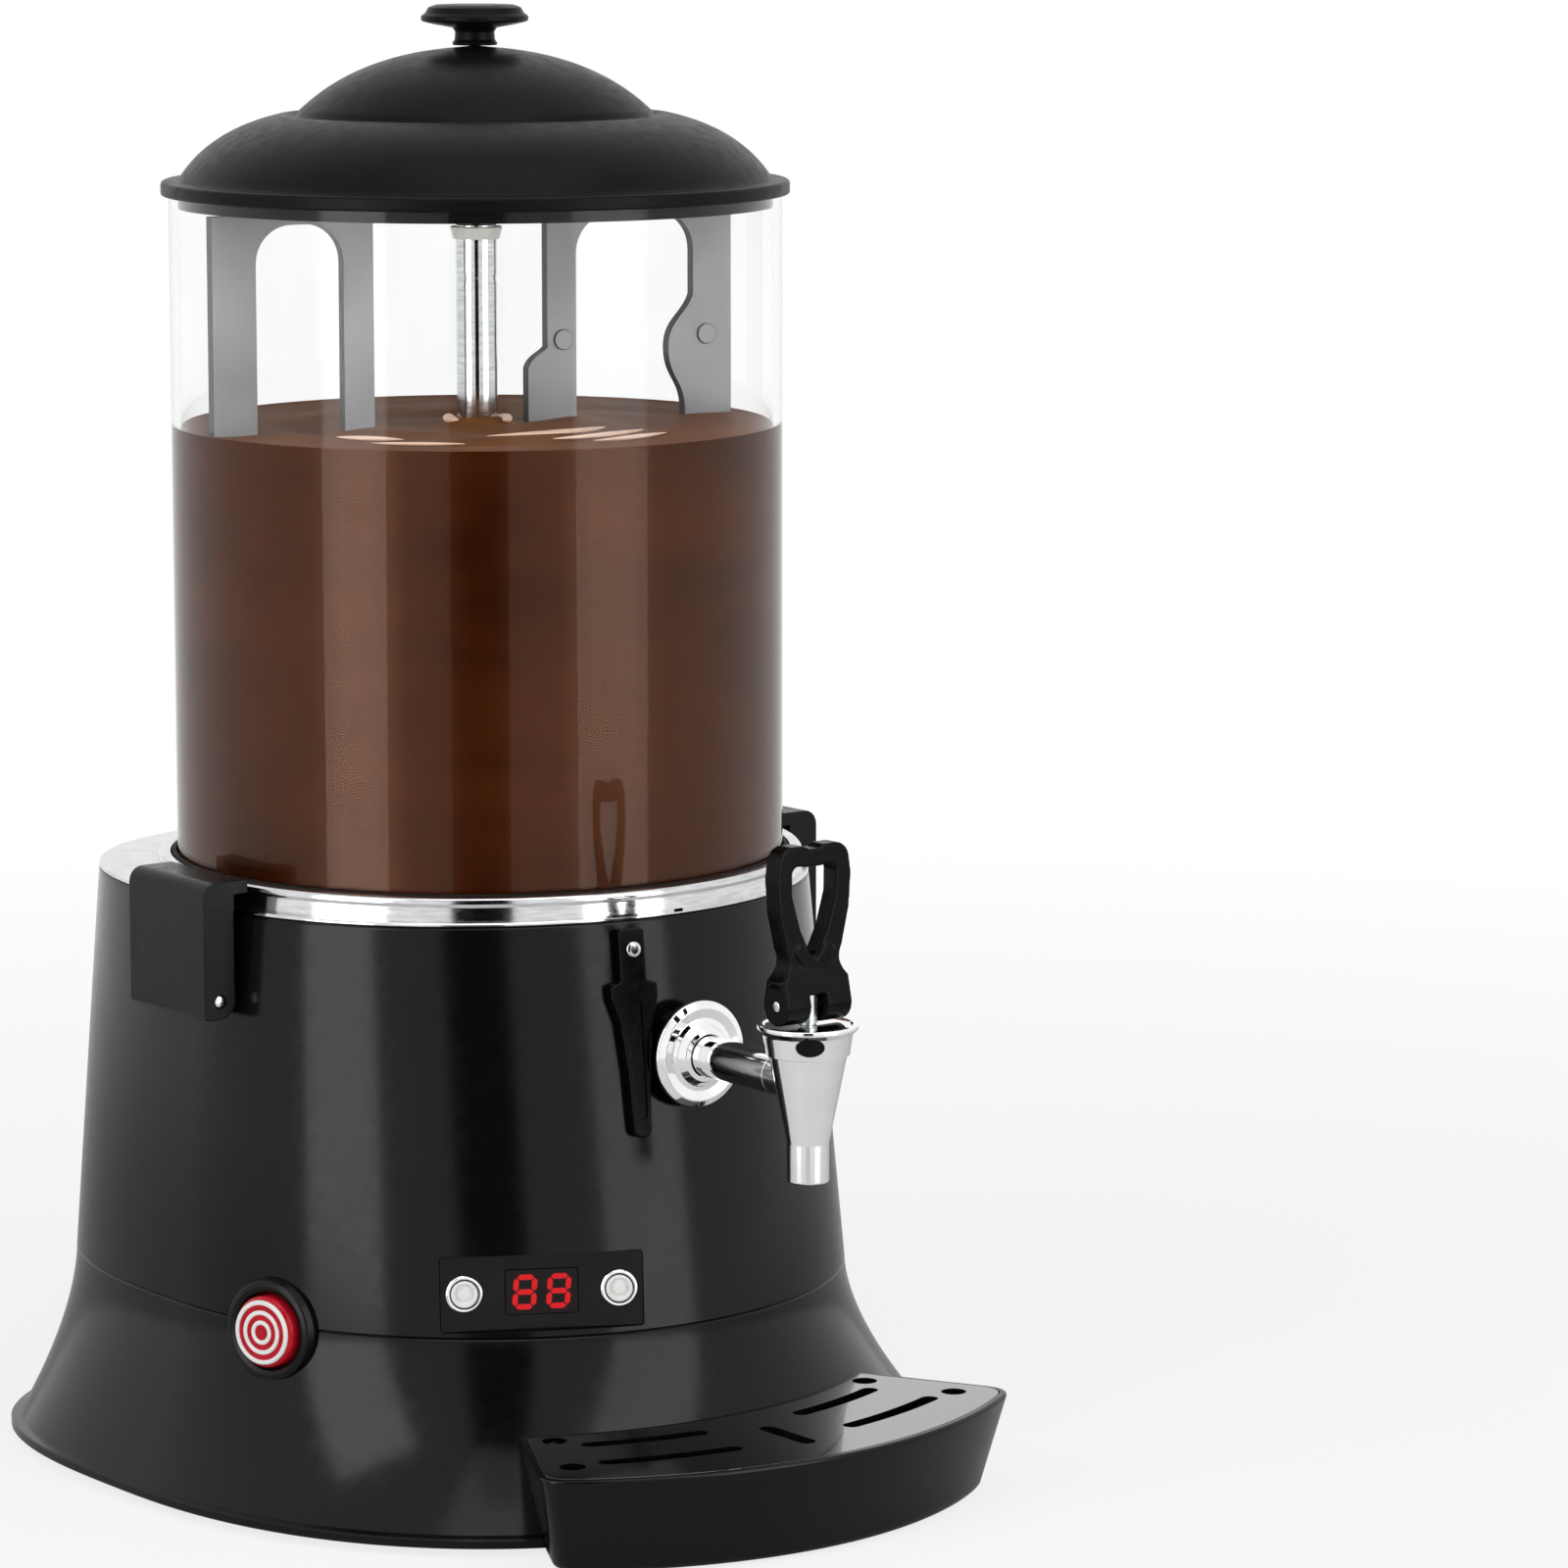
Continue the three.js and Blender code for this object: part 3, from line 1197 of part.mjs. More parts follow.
// The lever: a forked hub round the pin, two crossing arms and a drop-shaped loop for the finger.
function makeTapLever() {
  const hubRound = leverPivotRise - touch;
  const hubSide = new THREE.Shape();
  hubSide.moveTo(-hubRound, pivotHeight);
  hubSide.absarc(0, pivotHeight, hubRound, Math.PI, 2 * Math.PI, false);
  hubSide.lineTo(leverThick / 2, leverLoopBottom + running);
  hubSide.lineTo(-leverThick / 2, leverLoopBottom + running);
  const turnSide = new THREE.Matrix4().makeRotationZ(Math.PI / 2);
  const hub = solid(prismSkin(hubSide, -leverHubWidth / 2,
    leverHubWidth / 2).rotateX(Math.PI / 2).applyMatrix4(turnSide));
  const loop = (inset) => {
    const shape = new THREE.Shape();
    const half = leverHalf - inset;
    const low = leverLoopBottom + inset;
    const high = leverTop - inset;
    const narrow = half * leverNarrowShare;
    const cheek = half * leverCheekShare;
    const cheekHeight = low + half * leverCheekRiseShare;
    const corner = half * leverCornerShare;
    const side = high - half * (leverShoulderShare + leverBlendShare);
    shape.moveTo(0, low);
    shape.bezierCurveTo(narrow, low, cheek, cheekHeight, half, side);
    shape.bezierCurveTo(corner, high, narrow, high, 0, high - half * leverDipShare);
    shape.bezierCurveTo(-narrow, high, -corner, high, -half, side);
    shape.bezierCurveTo(-cheek, cheekHeight, -narrow, low, 0, low);
    return shape;
  };
  const thick = leverThick / 2;
  const ringOuter = solid(prismSkin(loop(0), -thick, thick).rotateX(Math.PI / 2));
  const ringInner = solid(prismSkin(loop(leverBar), -leverThick, leverThick).rotateX(Math.PI / 2));
  const slot = block(leverSlot, 4 * hubRound, leverLoopBottom - bonnetTop - hubRound / 2, 0, 0,
    bonnetTop + (leverLoopBottom - bonnetTop - hubRound / 2) / 2 - overrun);
  const pin = bar(leverPinRadius + touch, new THREE.Vector3(-leverHubWidth, 0, pivotHeight),
    new THREE.Vector3(leverHubWidth, 0, pivotHeight), smallSteps);
  const waist = [-1, 1].map((side) => bar(leverBar, new THREE.Vector3(side * leverHubWidth / 2,
    -leverHubWidth, leverLoopBottom - running),
    new THREE.Vector3(side * leverHubWidth / 2, leverHubWidth, leverLoopBottom - running)));
  return cut(join(cut(hub, ...waist), cut(ringOuter, ringInner)), slot, pin).translate([0, -tapReach, 0]);
}

// The front catch is drawn in its face's own frame, with the pivot at zero.
function makeCatchLever() {
  const top = catchHead;
  const low = -catchTail;
  const shoulder = -catchShoulderDrop;
  const half = catchWidth / 2;
  const wide = catchShoulder / 2;
  const shape = new THREE.Shape();
  shape.moveTo(-half, top);
  shape.lineTo(-half, shoulder + wide);
  shape.quadraticCurveTo(-wide, shoulder + half, -wide, shoulder);
  shape.quadraticCurveTo(-wide, shoulder - half, -half, shoulder - wide);
  shape.lineTo(-half, low + wide * 2);
  shape.quadraticCurveTo(-half, low + half, -half / 2, low);
  shape.lineTo(half / 2, low);
  shape.quadraticCurveTo(half, low + half, half, low + wide * 2);
  shape.lineTo(half, shoulder - wide);
  shape.quadraticCurveTo(wide, shoulder - half, wide, shoulder);
  shape.quadraticCurveTo(wide, shoulder + half, half, shoulder + wide);
  shape.lineTo(half, top);
  const plate = solid(prismSkin(shape, touch, touch + catchThick));
  return cut(plate, drum(screwRadius + touch, -overrun, catchThick + overrun, smallSteps));
}

function makeCatchScrew() {
  const seat = catchThick + 2 * touch;
  return turned([[0, -2 * wall + running], [screwRadius, -2 * wall + running], [screwRadius, seat],
    [catchScrewRadius, seat], [catchScrewRadius - catchScrewHead / 2, seat + catchScrewHead], [0,
      seat + catchScrewHead]], middleSteps);
}

// A latch, drawn for the right side: a barrel round the pin, a thick strap and a hook over the striker.
function latchOutline() {
  const shape = new THREE.Shape();
  const outer = latchPivotOut + latchBarrel;
  shape.moveTo(outer, latchPivotHeight);
  shape.lineTo(outer, latchTop - latchHook);
  shape.quadraticCurveTo(outer, latchTop, outer - latchHook, latchTop);
  shape.lineTo(latchHookIn, latchTop);
  shape.lineTo(latchHookIn, latchTop - latchHook);
  shape.lineTo(latchFaceIn, latchTop - latchHook);
  shape.lineTo(latchFaceIn, latchPivotHeight + latchBarrel);
  shape.absarc(latchPivotOut, latchPivotHeight, latchBarrel, Math.PI, 1.5 * Math.PI, false);
  const low = latchPivotHeight - latchBarrel;
  shape.lineTo(outer - latchTail, low);
  shape.quadraticCurveTo(outer, low, outer, low + latchTail);
  return shape;
}

function mirrored(geometry, side) {
  return solid(side < 0 ? geometry.scale(-1, 1, 1) : geometry);
}

// The pocket for the housing's knuckle is open inwards and below, where the knuckle swings past.
function makeLatch(side) {
  const body = mirrored(prismSkin(latchOutline(), -latchRear, latchFront, 5).rotateX(Math.PI / 2), side);
  const inner = latchPivotOut - 2 * latchBarrel;
  const outer = latchPivotOut + latchBarrel - latchSkin;
  const low = latchPivotHeight - 2 * latchBarrel;
  const high = latchPivotHeight + lugBarrel + touch;
  const pocket = block(outer - inner, 2 * lugHalf, high - low,
    side * (inner + outer) / 2, 0, (low + high) / 2);
  return cut(body, pocket, latchPinHole(side));
}

function makeLatchPin(side) {
  const x = side * latchPivotOut;
  return bar(latchPinRadius, new THREE.Vector3(x, -latchFront - touch, latchPivotHeight),
    new THREE.Vector3(x, latchRear, latchPivotHeight), smallSteps);
}

function keyPlaces() {
  return [['left', -keySpread], ['right', keySpread]];
}

function makePanelPlate() {
  const plate = block(panelWidth, panelTall, panelThick, 0, 0, -panelThick / 2);
  const screen = block(displayWidth + 2 * touch, displayTall + 2 * touch, panelTall, 0, 0, 0);
  const keys = keyPlaces().map(([, x]) => drum(keyRadius + 2 * touch, -panelTall, panelTall,
    middleSteps).translate([x, 0, 0]));
  const rings = keyPlaces().map(([, x]) => makeKeyRing(x));
  return join(cut(plate, screen, ...keys), ...rings);
}

function makeDisplay() {
  return block(displayWidth, displayTall, panelThick + displayThick, 0, 0,
    -(panelThick + displayThick) / 2 + displayThick / 2);
}

function makeKey(x) {
  const back = -panelThick - keyTravel;
  return turned([[0, back], [keyRadius, back], [keyRadius, keyProud - touch], [keyRadius - touch,
    keyProud], [0, keyProud]], middleSteps)
    .translate([x, 0, 0]);
}

function makeKeyRing(x) {
  const bore = keyRadius + 2 * touch;
  return turned([[bore, -panelThick / 2], [keyRingRadius, -panelThick / 2], [keyRingRadius,
    keyRingProud / 2], [keyRingRadius - keyRingProud / 2, keyRingProud],
    [bore, keyRingProud]], middleSteps).translate([x, 0, 0]);
}

function makeBoard() {
  const width = panelWidth - 2 * boardMargin - 2 * touch;
  const tall = panelTall - 2 * boardMargin - 2 * touch;
  const face = -panelThick - keyTravel * 2 - displayThick;
  const board = block(width, tall, boardThick, 0, 0, face - boardThick / 2);
  const relay = block(boardGap * 2, boardGap * 2, boardGap, keySpread / 2, 0,
    face - boardThick - boardGap / 2);
  const chip = block(boardGap, boardGap, boardThick, -keySpread / 2, 0, face - boardThick - boardThick / 2);
  const standoffs = [-1, 1].map((side) => block(boardGap / 2, tall, -face - panelThick,
    side * (displayWidth / 2 + boardGap / 2), 0,
    (face - panelThick) / 2));
  return join(board, relay, chip, ...standoffs);
}

function makePowerBezel() {
  const flange = inFrame(powerFrame, turnedSkin([[powerRadius + touch * 2, -powerBezelProud * 2],
    [powerBezel, -powerBezelProud * 2],
    [powerBezel, powerBezelProud / 2], [powerBezel - powerBezelProud / 2, powerBezelProud],
    [powerRadius + touch * 2, powerBezelProud]], middleSteps));
  const lowerBody = bodyOf(flareHeights, touch);
  const upperBody = bodyOf([seamHeight, deckHeight], touch);
  const sleeve = inFrame(powerFrame, turnedSkin([[powerRadius + touch * 2, -powerSleeveDeep],
    [powerSleeve, -powerSleeveDeep], [powerSleeve, powerBezelProud / 2], [powerRadius + touch * 2,
      powerBezelProud / 2]], middleSteps));
  return cut(flange, lowerBody, upperBody).add(sleeve);
}

function makePowerButton() {
  const back = -powerSleeveDeep + powerTravel + touch;
  return turned([[0, back], [powerRadius, back], [powerRadius, powerProud - overrun],
    [powerRadius - overrun / 2, powerProud - overrun / 4],
    [powerRadius * powerDomeShare, powerProud], [0, powerProud]], middleSteps);
}

function makePowerSwitch() {
  const back = -powerSleeveDeep - switchLength;
  const blades = [-1, 1].map((side) => block(running, powerSleeve / 2, powerSleeve,
    side * powerSleeve / 2, 0, back));
  return join(drum(powerSleeve, back, -powerSleeveDeep - touch, middleSteps), ...blades);
}

function makeInlet() {
  const flange = block(inletFlange, inletFlangeTall, inletFlangeThick, 0, 0, -inletFlangeThick / 2 + touch);
  const body = block(inletWidth, inletTall, inletDeep, 0, 0, -inletDeep / 2);
  const mouth = block(inletMouthWidth, inletMouthTall, inletMouthDeep + overrun, 0, 0,
    (overrun - inletMouthDeep) / 2);
  const screws = [-1, 1].map((side) => drum(inletScrewRadius + touch, -inletDeep, overrun, smallSteps)
    .translate([side * inletScrewSpread, 0, 0]));
  const pins = [[-1, -1], [0, 1], [1, -1]].map(([column, row]) => block(inletPinWidth, inletPinTall,
    inletPinReach + overrun,
    column * inletPinSpread, row * inletPinRise, -inletMouthDeep + inletPinReach / 2 - overrun / 2));
  return join(cut(flange.add(body), mouth, ...screws), ...pins);
}

// The tray's outline at a height, between its foot and its rim, drawn in by an inset.
function trayRing(height, inset) {
  const share = (height - trayLift) / (trayRimHeight - trayLift);
  const mix = THREE.MathUtils.lerp;
  const cornerX = mix(trayFootCornerX, trayCornerX, share) - inset;
  const cornerY = mix(trayFootCornerY, trayCornerY, share) - inset / 2;
  const front = mix(trayFootFront, trayFront, share) - inset;
  const rearX = mix(trayFootRearX, trayRearX, share) - inset;
  const sagitta = front - cornerY;
  const radius = (cornerX ** 2 + sagitta ** 2) / (2 * sagitta);
  const half = Math.asin(cornerX / radius);
  const round = trayCornerRound / radius;
  const back = trayCornerRound / Math.hypot(cornerX - rearX, cornerY - trayRearY);
  const side = (sign) => new THREE.Vector2(sign * mix(cornerX, rearX, back), -mix(cornerY, trayRearY, back));
  const onArc = (turn) => new THREE.Vector2(radius * Math.sin(turn),
    radius - front - radius * Math.cos(turn));
  const corner = (sign) => new THREE.QuadraticBezierCurve(side(sign), new THREE.Vector2(sign * cornerX,
    -cornerY),
    onArc(sign * (half - round))).getPoints(trayRoundSteps);
  const arc = Array.from({ length: trayArcSteps - 1 }, (_,
    i) => onArc((half - round) * (2 * (i + 1) / trayArcSteps - 1)));
  const points = [new THREE.Vector2(-rearX, -trayRearY), ...corner(-1), ...arc, ...corner(1).reverse(),
    new THREE.Vector2(rearX, -trayRearY)];
  return points.map(({ x, y }) => new THREE.Vector3(x, y, height));
}

function trayBlock(low, high, inset, insetTop = inset) {
  return solid(skinThrough([trayRing(low, inset), trayRing(high, insetTop)]));
}

const grilleBottom = trayRimHeight - grilleThick;

function makeTray() {
  const outer = trayBlock(trayLift, trayRimHeight, 0);
  const deep = trayBlock(trayLift + trayWall, trayRimHeight + overrun, trayWall, trayWall + grilleLedge);
  const rebate = trayBlock(grilleBottom, trayRimHeight + overrun, trayWall);
  const behind = bodyOf([...flareHeights.slice(0, -1), seamHeight], trayClear + trayWall);
  const lip = solid(skinThrough([planRing(footLift - overrun, lipOut + trayClear, footLift),
    planRing(footLift + lipHeight + trayClear, lipOut + trayClear, footLift)]));
  const clear = bodyOf([footLift - overrun, ...flareHeights], trayClear);
  const hollow = cut(deep, behind, solid(skinThrough([planRing(footLift - overrun,
    lipOut + trayClear + trayWall, footLift),
    planRing(footLift + lipHeight + trayClear + trayWall, lipOut + trayClear + trayWall, footLift)])));
  return cut(outer, hollow, cut(rebate, behind), lip, clear);
}

function arcSlot(radius, from, to) {
  const half = slotWidth / 2;
  const [a, b] = [from, to].map((angle) => THREE.MathUtils.degToRad(angle - 90));
  const shape = new THREE.Shape();
  shape.absarc(0, 0, radius + half, a, b, false);
  shape.absarc(radius * Math.cos(b), radius * Math.sin(b), half, b, b + Math.PI, false);
  shape.absarc(0, 0, radius - half, b, a, true);
  shape.absarc(radius * Math.cos(a), radius * Math.sin(a), half, a + Math.PI, a + 2 * Math.PI, false);
  return solid(prismSkin(shape, 0, seamHeight, 3));
}

function makeGrille() {
  const inset = trayWall + touch;
  const plate = trayBlock(grilleBottom, trayRimHeight, inset);
  const behind = bodyOf([...flareHeights.slice(0, -1), seamHeight], trayClear + trayWall + touch);
  const rows = [trayFront - slotInnerBack, trayFront - slotOuterBack];
  const slots = rows.flatMap((radius) => [[slotStart, slotEnd], [-slotEnd, -slotStart]]
    .map(([from, to]) => arcSlot(radius, from, to)));
  const places = [[trayCornerX - sideHoleIn, trayCornerY - sideHoleBack],
    [trayCornerX - cornerHoleIn, trayCornerY - cornerHoleBack]];
  const holes = places.flatMap(([x, y]) => [-x, x].map((across) => drum(grilleHoleRadius, 0, seamHeight)
    .translate([across, -y, 0])));
  const centre = block(slotWidth, centreSlotBack - centreSlotFront, seamHeight,
    0, (centreSlotBack + centreSlotFront) / 2 - trayFront, 0);
  return cut(plate, behind, centre, ...slots, ...holes);
}

addPart('lower_base', makeLowerBase(), 'gloss');
addPart('upper_housing', makeUpperHousing(), 'gloss');
addPart('base_plate', makeBaseSheet(), 'steel');
const footNames = ['foot_front_left', 'foot_front_right', 'foot_rear_left', 'foot_rear_right'];
footPlaces().forEach(([x, y], i) => addPart(footNames[i], makeFoot(), 'rubber').position.set(x, y, 0));
bossPlaces.forEach(({ x, y }, i) => addPart(`housing_screw_${i + 1}`, makeHousingScrew(),
  'steel').position.set(x, y, 0));
addPart('top_plate', makeTopPlate(), 'chrome');
addPart('product_pan', makePan(), 'steel');
addPart('water_tank', makeTank(), 'steel');
addPart('heating_element', makeHeater(), 'steel');
addPart('heater_clamp', makeHeaterClamp(), 'steel');
addPart('temperature_probe', makeProbe(), 'steel');
addPart('shaft_sleeve', ring(sleeveBore, sleeveRadius, sleeveBottom, sleeveTop, middleSteps), 'steel');
addPart('shaft_seal', makeShaftSeal(), 'silicone');
addPart('bowl_gasket', ring(bowlInner - overrun, bowlRadius, flangeTop, bowlBottom), 'rubber');
addPart('bowl', makeBowl(), 'clear');
addPart('gearmotor', makeGearmotor(), 'cast');
addPart('motor_bracket', makeBracket(), 'steel');
for (const [side, x, y] of motorScrewPlaces()) addPart(`motor_screw_${side}`, makeMotorScrew(),
  'steel').position.set(x, y, 0);
addPart('drive_shaft', makeDriveShaft(), 'steel');
addPart('drive_pin', drivePinAlong(drivePinRadius), 'steel');
addPart('stirrer_shaft', makeStirrerShaft(), 'chrome');
addPart('stirrer_paddle', makePaddle(), 'grey');
addPart('shaft_cap', makeShaftCap(), 'ivory');
addPart('lid', makeLid(), 'satin');
addPart('lid_knob', makeKnob(), 'satin');
addPart('tap_nut', makeTapNut(), 'chrome');
addPart('tap_flange', makeTapFlange(), 'chrome');
addPart('pan_nut', makePanNut(), 'steel');
addPart('tap_shank', makeTapShank(), 'chrome');
addPart('tap_body', makeTapBody(), 'chrome');
addPart('tap_bonnet', makeBonnet(), 'chrome');
addPart('tap_stem', makeStem(), 'steel');
addPart('tap_seat_cup', makeSeatCup(), 'silicone');
addPart('tap_spring', makeSpring(), 'steel');
addPart('tap_lever_pin', makeLeverPin(), 'steel');
addPart('tap_lever', makeTapLever(), 'satin');
for (const [name, side] of [['left', -1], ['right', 1]]) {
  addPart(`latch_${name}`, makeLatch(side), 'gloss');
  addPart(`latch_pin_${name}`, makeLatchPin(side), 'chrome');
}
const catchGroup = groupAt(catchFrame);
addPart('catch_lever', makeCatchLever(), 'satin', catchGroup);
addPart('catch_screw', makeCatchScrew(), 'chrome', catchGroup);
const panelGroup = groupAt(panelFrame);
addPart('control_panel', makePanelPlate(), 'gloss', panelGroup);
addPart('display_window', makeDisplay(), 'red', panelGroup);
addPart('control_board', makeBoard(), 'board', panelGroup);
for (const [name, x] of keyPlaces()) {
  addPart(`panel_button_${name}`, makeKey(x), 'ivory', panelGroup);
}
const powerGroup = groupAt(powerFrame);
addPart('power_bezel', makePowerBezel(), 'satin');
addPart('power_button', makePowerButton(), 'red', powerGroup);
addPart('power_switch', makePowerSwitch(), 'satin', powerGroup);
const inletGroup = groupAt(inletFrame);
addPart('power_inlet', makeInlet(), 'satin', inletGroup);
addPart('drip_tray', makeTray(), 'gloss');
addPart('drip_grille', makeGrille(), 'gloss');

model.position.y = groupShift;

export default model;
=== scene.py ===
# Hot chocolate dispenser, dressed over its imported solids. Shapes are drawn in millimetres round the bowl's axis
# and settled into the row frame, in metres, when they are finished.
import math

import bmesh
import bpy
from mathutils import Matrix, Vector


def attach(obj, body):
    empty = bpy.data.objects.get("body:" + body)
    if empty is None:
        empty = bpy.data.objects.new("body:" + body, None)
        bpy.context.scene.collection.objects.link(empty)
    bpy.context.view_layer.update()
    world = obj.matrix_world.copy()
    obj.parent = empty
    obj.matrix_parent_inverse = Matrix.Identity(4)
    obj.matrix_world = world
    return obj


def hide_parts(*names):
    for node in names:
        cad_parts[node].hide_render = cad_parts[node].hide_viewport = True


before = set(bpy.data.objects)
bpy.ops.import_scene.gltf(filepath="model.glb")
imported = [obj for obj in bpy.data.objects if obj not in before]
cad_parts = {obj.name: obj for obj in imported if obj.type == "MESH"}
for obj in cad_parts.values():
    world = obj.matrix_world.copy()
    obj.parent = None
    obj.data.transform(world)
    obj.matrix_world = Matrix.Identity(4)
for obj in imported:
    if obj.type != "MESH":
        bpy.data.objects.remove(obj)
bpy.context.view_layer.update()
print("frame loaded")

toRow = Matrix.Translation((0, 0.0325, 0)) @ Matrix.Scale(0.001, 4)  # bowl frame in mm to row frame in m


# small tools
def srgb(code):  # an sRGB hex colour as linear values
    parts = [int(code[i:i + 2], 16) / 255 for i in (1, 3, 5)]
    return [c / 12.92 if c <= 0.04045 else ((c + 0.055) / 1.055) ** 2.4 for c in parts] + [1.0]


def mix(a, b, share):
    return a + (b - a) * share


def evenly(low, high, count):
    return [mix(low, high, i / count) for i in range(count + 1)]


def shift(x, y, z):
    return Matrix.Translation((x, y, z))


def spin(degrees, axis):
    return Matrix.Rotation(math.radians(degrees), 4, axis)


def newObject(name, data):
    piece = bpy.data.objects.new(name, data)
    bpy.context.scene.collection.objects.link(piece)
    return piece


def addNode(tree, kind, links=None, **settings):  # one node with its settings, values and links
    node = tree.nodes.new(kind)
    for key, value in settings.items():
        setattr(node, key, value)
    for key, value in (links or {}).items():
        if isinstance(value, bpy.types.Node):
            value = value.outputs[0]
        if isinstance(value, bpy.types.NodeSocket):
            tree.links.new(value, node.inputs[key])
        else:
            node.inputs[key].default_value = value
    return node


# camera
view = {"place": (-1.4400, -2.0126, 0.6534), "turn": (81.22, 0, -37.96), "lens": 143.73, "sensor": 36}
cameraData = bpy.data.cameras.new("photoCamera")
cameraData.lens = view["lens"]
cameraData.sensor_width = view["sensor"]
camera = newObject("photoCamera", cameraData)
camera.location = view["place"]
camera.rotation_euler = [math.radians(a) for a in view["turn"]]
bpy.context.scene.camera = camera


# outlines, as lists of points
def arc(radius, angles, centre=(0, 0), tall=None):  # angles in degrees; tall makes it an oval
    return [(centre[0] + radius * math.cos(math.radians(a)), centre[1] + (tall or radius) * math.sin(math.radians(a)))
            for a in angles]


def fullTurn(count):
    return [360 * k / count for k in range(count)]


def arcCorner(before, corner, after, radius, steps):  # a rounded corner between two straight runs
    corner = Vector(corner)
    toA, toB = Vector(before) - corner, Vector(after) - corner
    half = toA.angle(toB) / 2
    if radius <= 0 or half > math.radians(88):
        return [tuple(corner)]
    reach = min(radius / math.tan(half), toA.length * 0.49, toB.length * 0.49)
    radius = reach * math.tan(half)
    centre = corner + (toA.normalized() + toB.normalized()).normalized() * (radius / math.sin(half))
    start, end = corner + toA.normalized() * reach - centre, corner + toB.normalized() * reach - centre
    turns = [-start.angle_signed(end) * i / steps for i in range(steps + 1)]
    return [(centre.x + start.x * math.cos(turn) - start.y * math.sin(turn),
             centre.y + start.x * math.sin(turn) + start.y * math.cos(turn)) for turn in turns]


def rounded(points, closed=True, steps=5):  # an outline whose points may carry a corner radius
    count = len(points)
    result = []
    for i, point in enumerate(points):
        if len(point) < 3 or (not closed and i in (0, count - 1)):
            result.append(tuple(point[:2]))
        else:
            result += arcCorner(points[i - 1][:2], point[:2], points[(i + 1) % count][:2], point[2], steps)
    return result


def boxed(left, low, right, high, corner, steps=5):  # a rectangle with rounded corners
    return rounded([(left, low, corner), (right, low, corner), (right, high, corner), (left, high, corner)],
                   steps=steps)


def bezier(a, b, c, d, count=10):
    weights = [((1 - t) ** 3, 3 * t * (1 - t) ** 2, 3 * t * t * (1 - t), t ** 3) for t in evenly(0, 1, count)]
    return [tuple(sum(w * p[k] for w, p in zip(row, (a, b, c, d))) for k in (0, 1)) for row in weights]


# meshes
def meshFrom(name, points, faces):
    data = bpy.data.meshes.new(name)
    data.from_pydata([tuple(p) for p in points], [], faces)
    shape = bmesh.new()
    shape.from_mesh(data)
    bmesh.ops.remove_doubles(shape, verts=shape.verts, dist=1e-5)
    bmesh.ops.recalc_face_normals(shape, faces=shape.faces)
    shape.to_mesh(data)
    shape.free()
    return newObject(name, data)


def placed(piece, matrix=None):
    if matrix is not None:
        piece.data.transform(matrix)
        if matrix.determinant() < 0:
            piece.data.flip_normals()
    return piece


def baked(piece):  # replaces the piece's mesh by its evaluated one and drops its modifiers
    graph = bpy.context.evaluated_depsgraph_get()
    data = bpy.data.meshes.new_from_object(piece.evaluated_get(graph))
    piece.modifiers.clear()
    piece.data = data
    return piece


def carve(piece, *tools, how="DIFFERENCE"):
    for tool in tools:
        change = piece.modifiers.new("carve", "BOOLEAN")
        change.object = tool
        change.operation = how
        change.solver = "EXACT"
    baked(piece)
    for tool in tools:
        bpy.data.objects.remove(tool)
    return piece


def soften(piece, width, segments=3, angle=35):
    change = piece.modifiers.new("soften", "BEVEL")
    change.width = width
    change.segments = segments
    change.limit_method = "ANGLE"
    change.angle_limit = math.radians(angle)
    change.use_clamp_overlap = True
    return baked(piece)


def joined(name, pieces):  # several meshes as one, nothing cut
    whole, shape = meshFrom(name, [], []), bmesh.new()
    for piece in pieces:
        shape.from_mesh(piece.data)
        bpy.data.objects.remove(piece)
    shape.to_mesh(whole.data)
    shape.free()
    return whole


def between(low, high):  # the faces between two rings of point numbers
    faces = []
    for k in range(len(low)):
        n = (k + 1) % len(low)
        face = list(dict.fromkeys([low[k], low[n], high[n], high[k]]))
        if len(face) > 2:
            faces.append(face)
    return faces


def throughRings(name, rings, looped=False):  # a skin through rings of equally many points, capped or looped
    count = len(rings[0])
    numbers = [list(range(r * count, (r + 1) * count)) for r in range(len(rings))]
    faces = [] if looped else [numbers[0][::-1], numbers[-1]]
    for low, high in zip(numbers, numbers[1:] + numbers[:1] if looped else numbers[1:]):
        faces += between(low, high)
    return meshFrom(name, [p for ring in rings for p in ring], faces)


def stacked(name, ringAt, rows):  # each row is what ringAt is given for one ring
    return throughRings(name, [ringAt(*row) for row in rows])


def upright(name, outline, low, high):  # a prism standing on an outline
    return throughRings(name, [[(x, y, z) for x, y in outline] for z in (low, high)])


def turnedPiece(name, profile, steps=128, matrix=None):  # a body of revolution from (radius, height, corner)
    onAxis = abs(profile[0][0]) < 1e-6 and abs(profile[-1][0]) < 1e-6
    points, rings = [], []
    for radius, height in rounded(profile, closed=not onAxis):
        if radius < 1e-6:
            rings.append([len(points)] * steps)
            points.append((0, 0, height))
        else:
            rings.append([len(points) + k for k in range(steps)])
            points += [(x, y, height) for x, y in arc(radius, fullTurn(steps))]
    pairs = list(zip(rings, rings[1:])) + ([] if onAxis else [(rings[-1], rings[0])])
    return placed(meshFrom(name, points, [face for pair in pairs for face in between(*pair)]), matrix)


def block(name, size, centre=(0, 0, 0), matrix=None):
    w, d, h = [s / 2 for s in size]
    piece = upright(name, [(-w, -d), (w, -d), (w, d), (-w, d)], -h, h)
    return placed(placed(piece, shift(*centre)), matrix)


def rod(name, radius, start, end, steps=64):
    start, end = Vector(start), Vector(end)
    turn = (end - start).to_track_quat("Z", "Y").to_matrix().to_4x4()
    length = (end - start).length
    return turnedPiece(name, [(0, 0), (radius, 0), (radius, length), (0, length)], steps, shift(*start) @ turn)


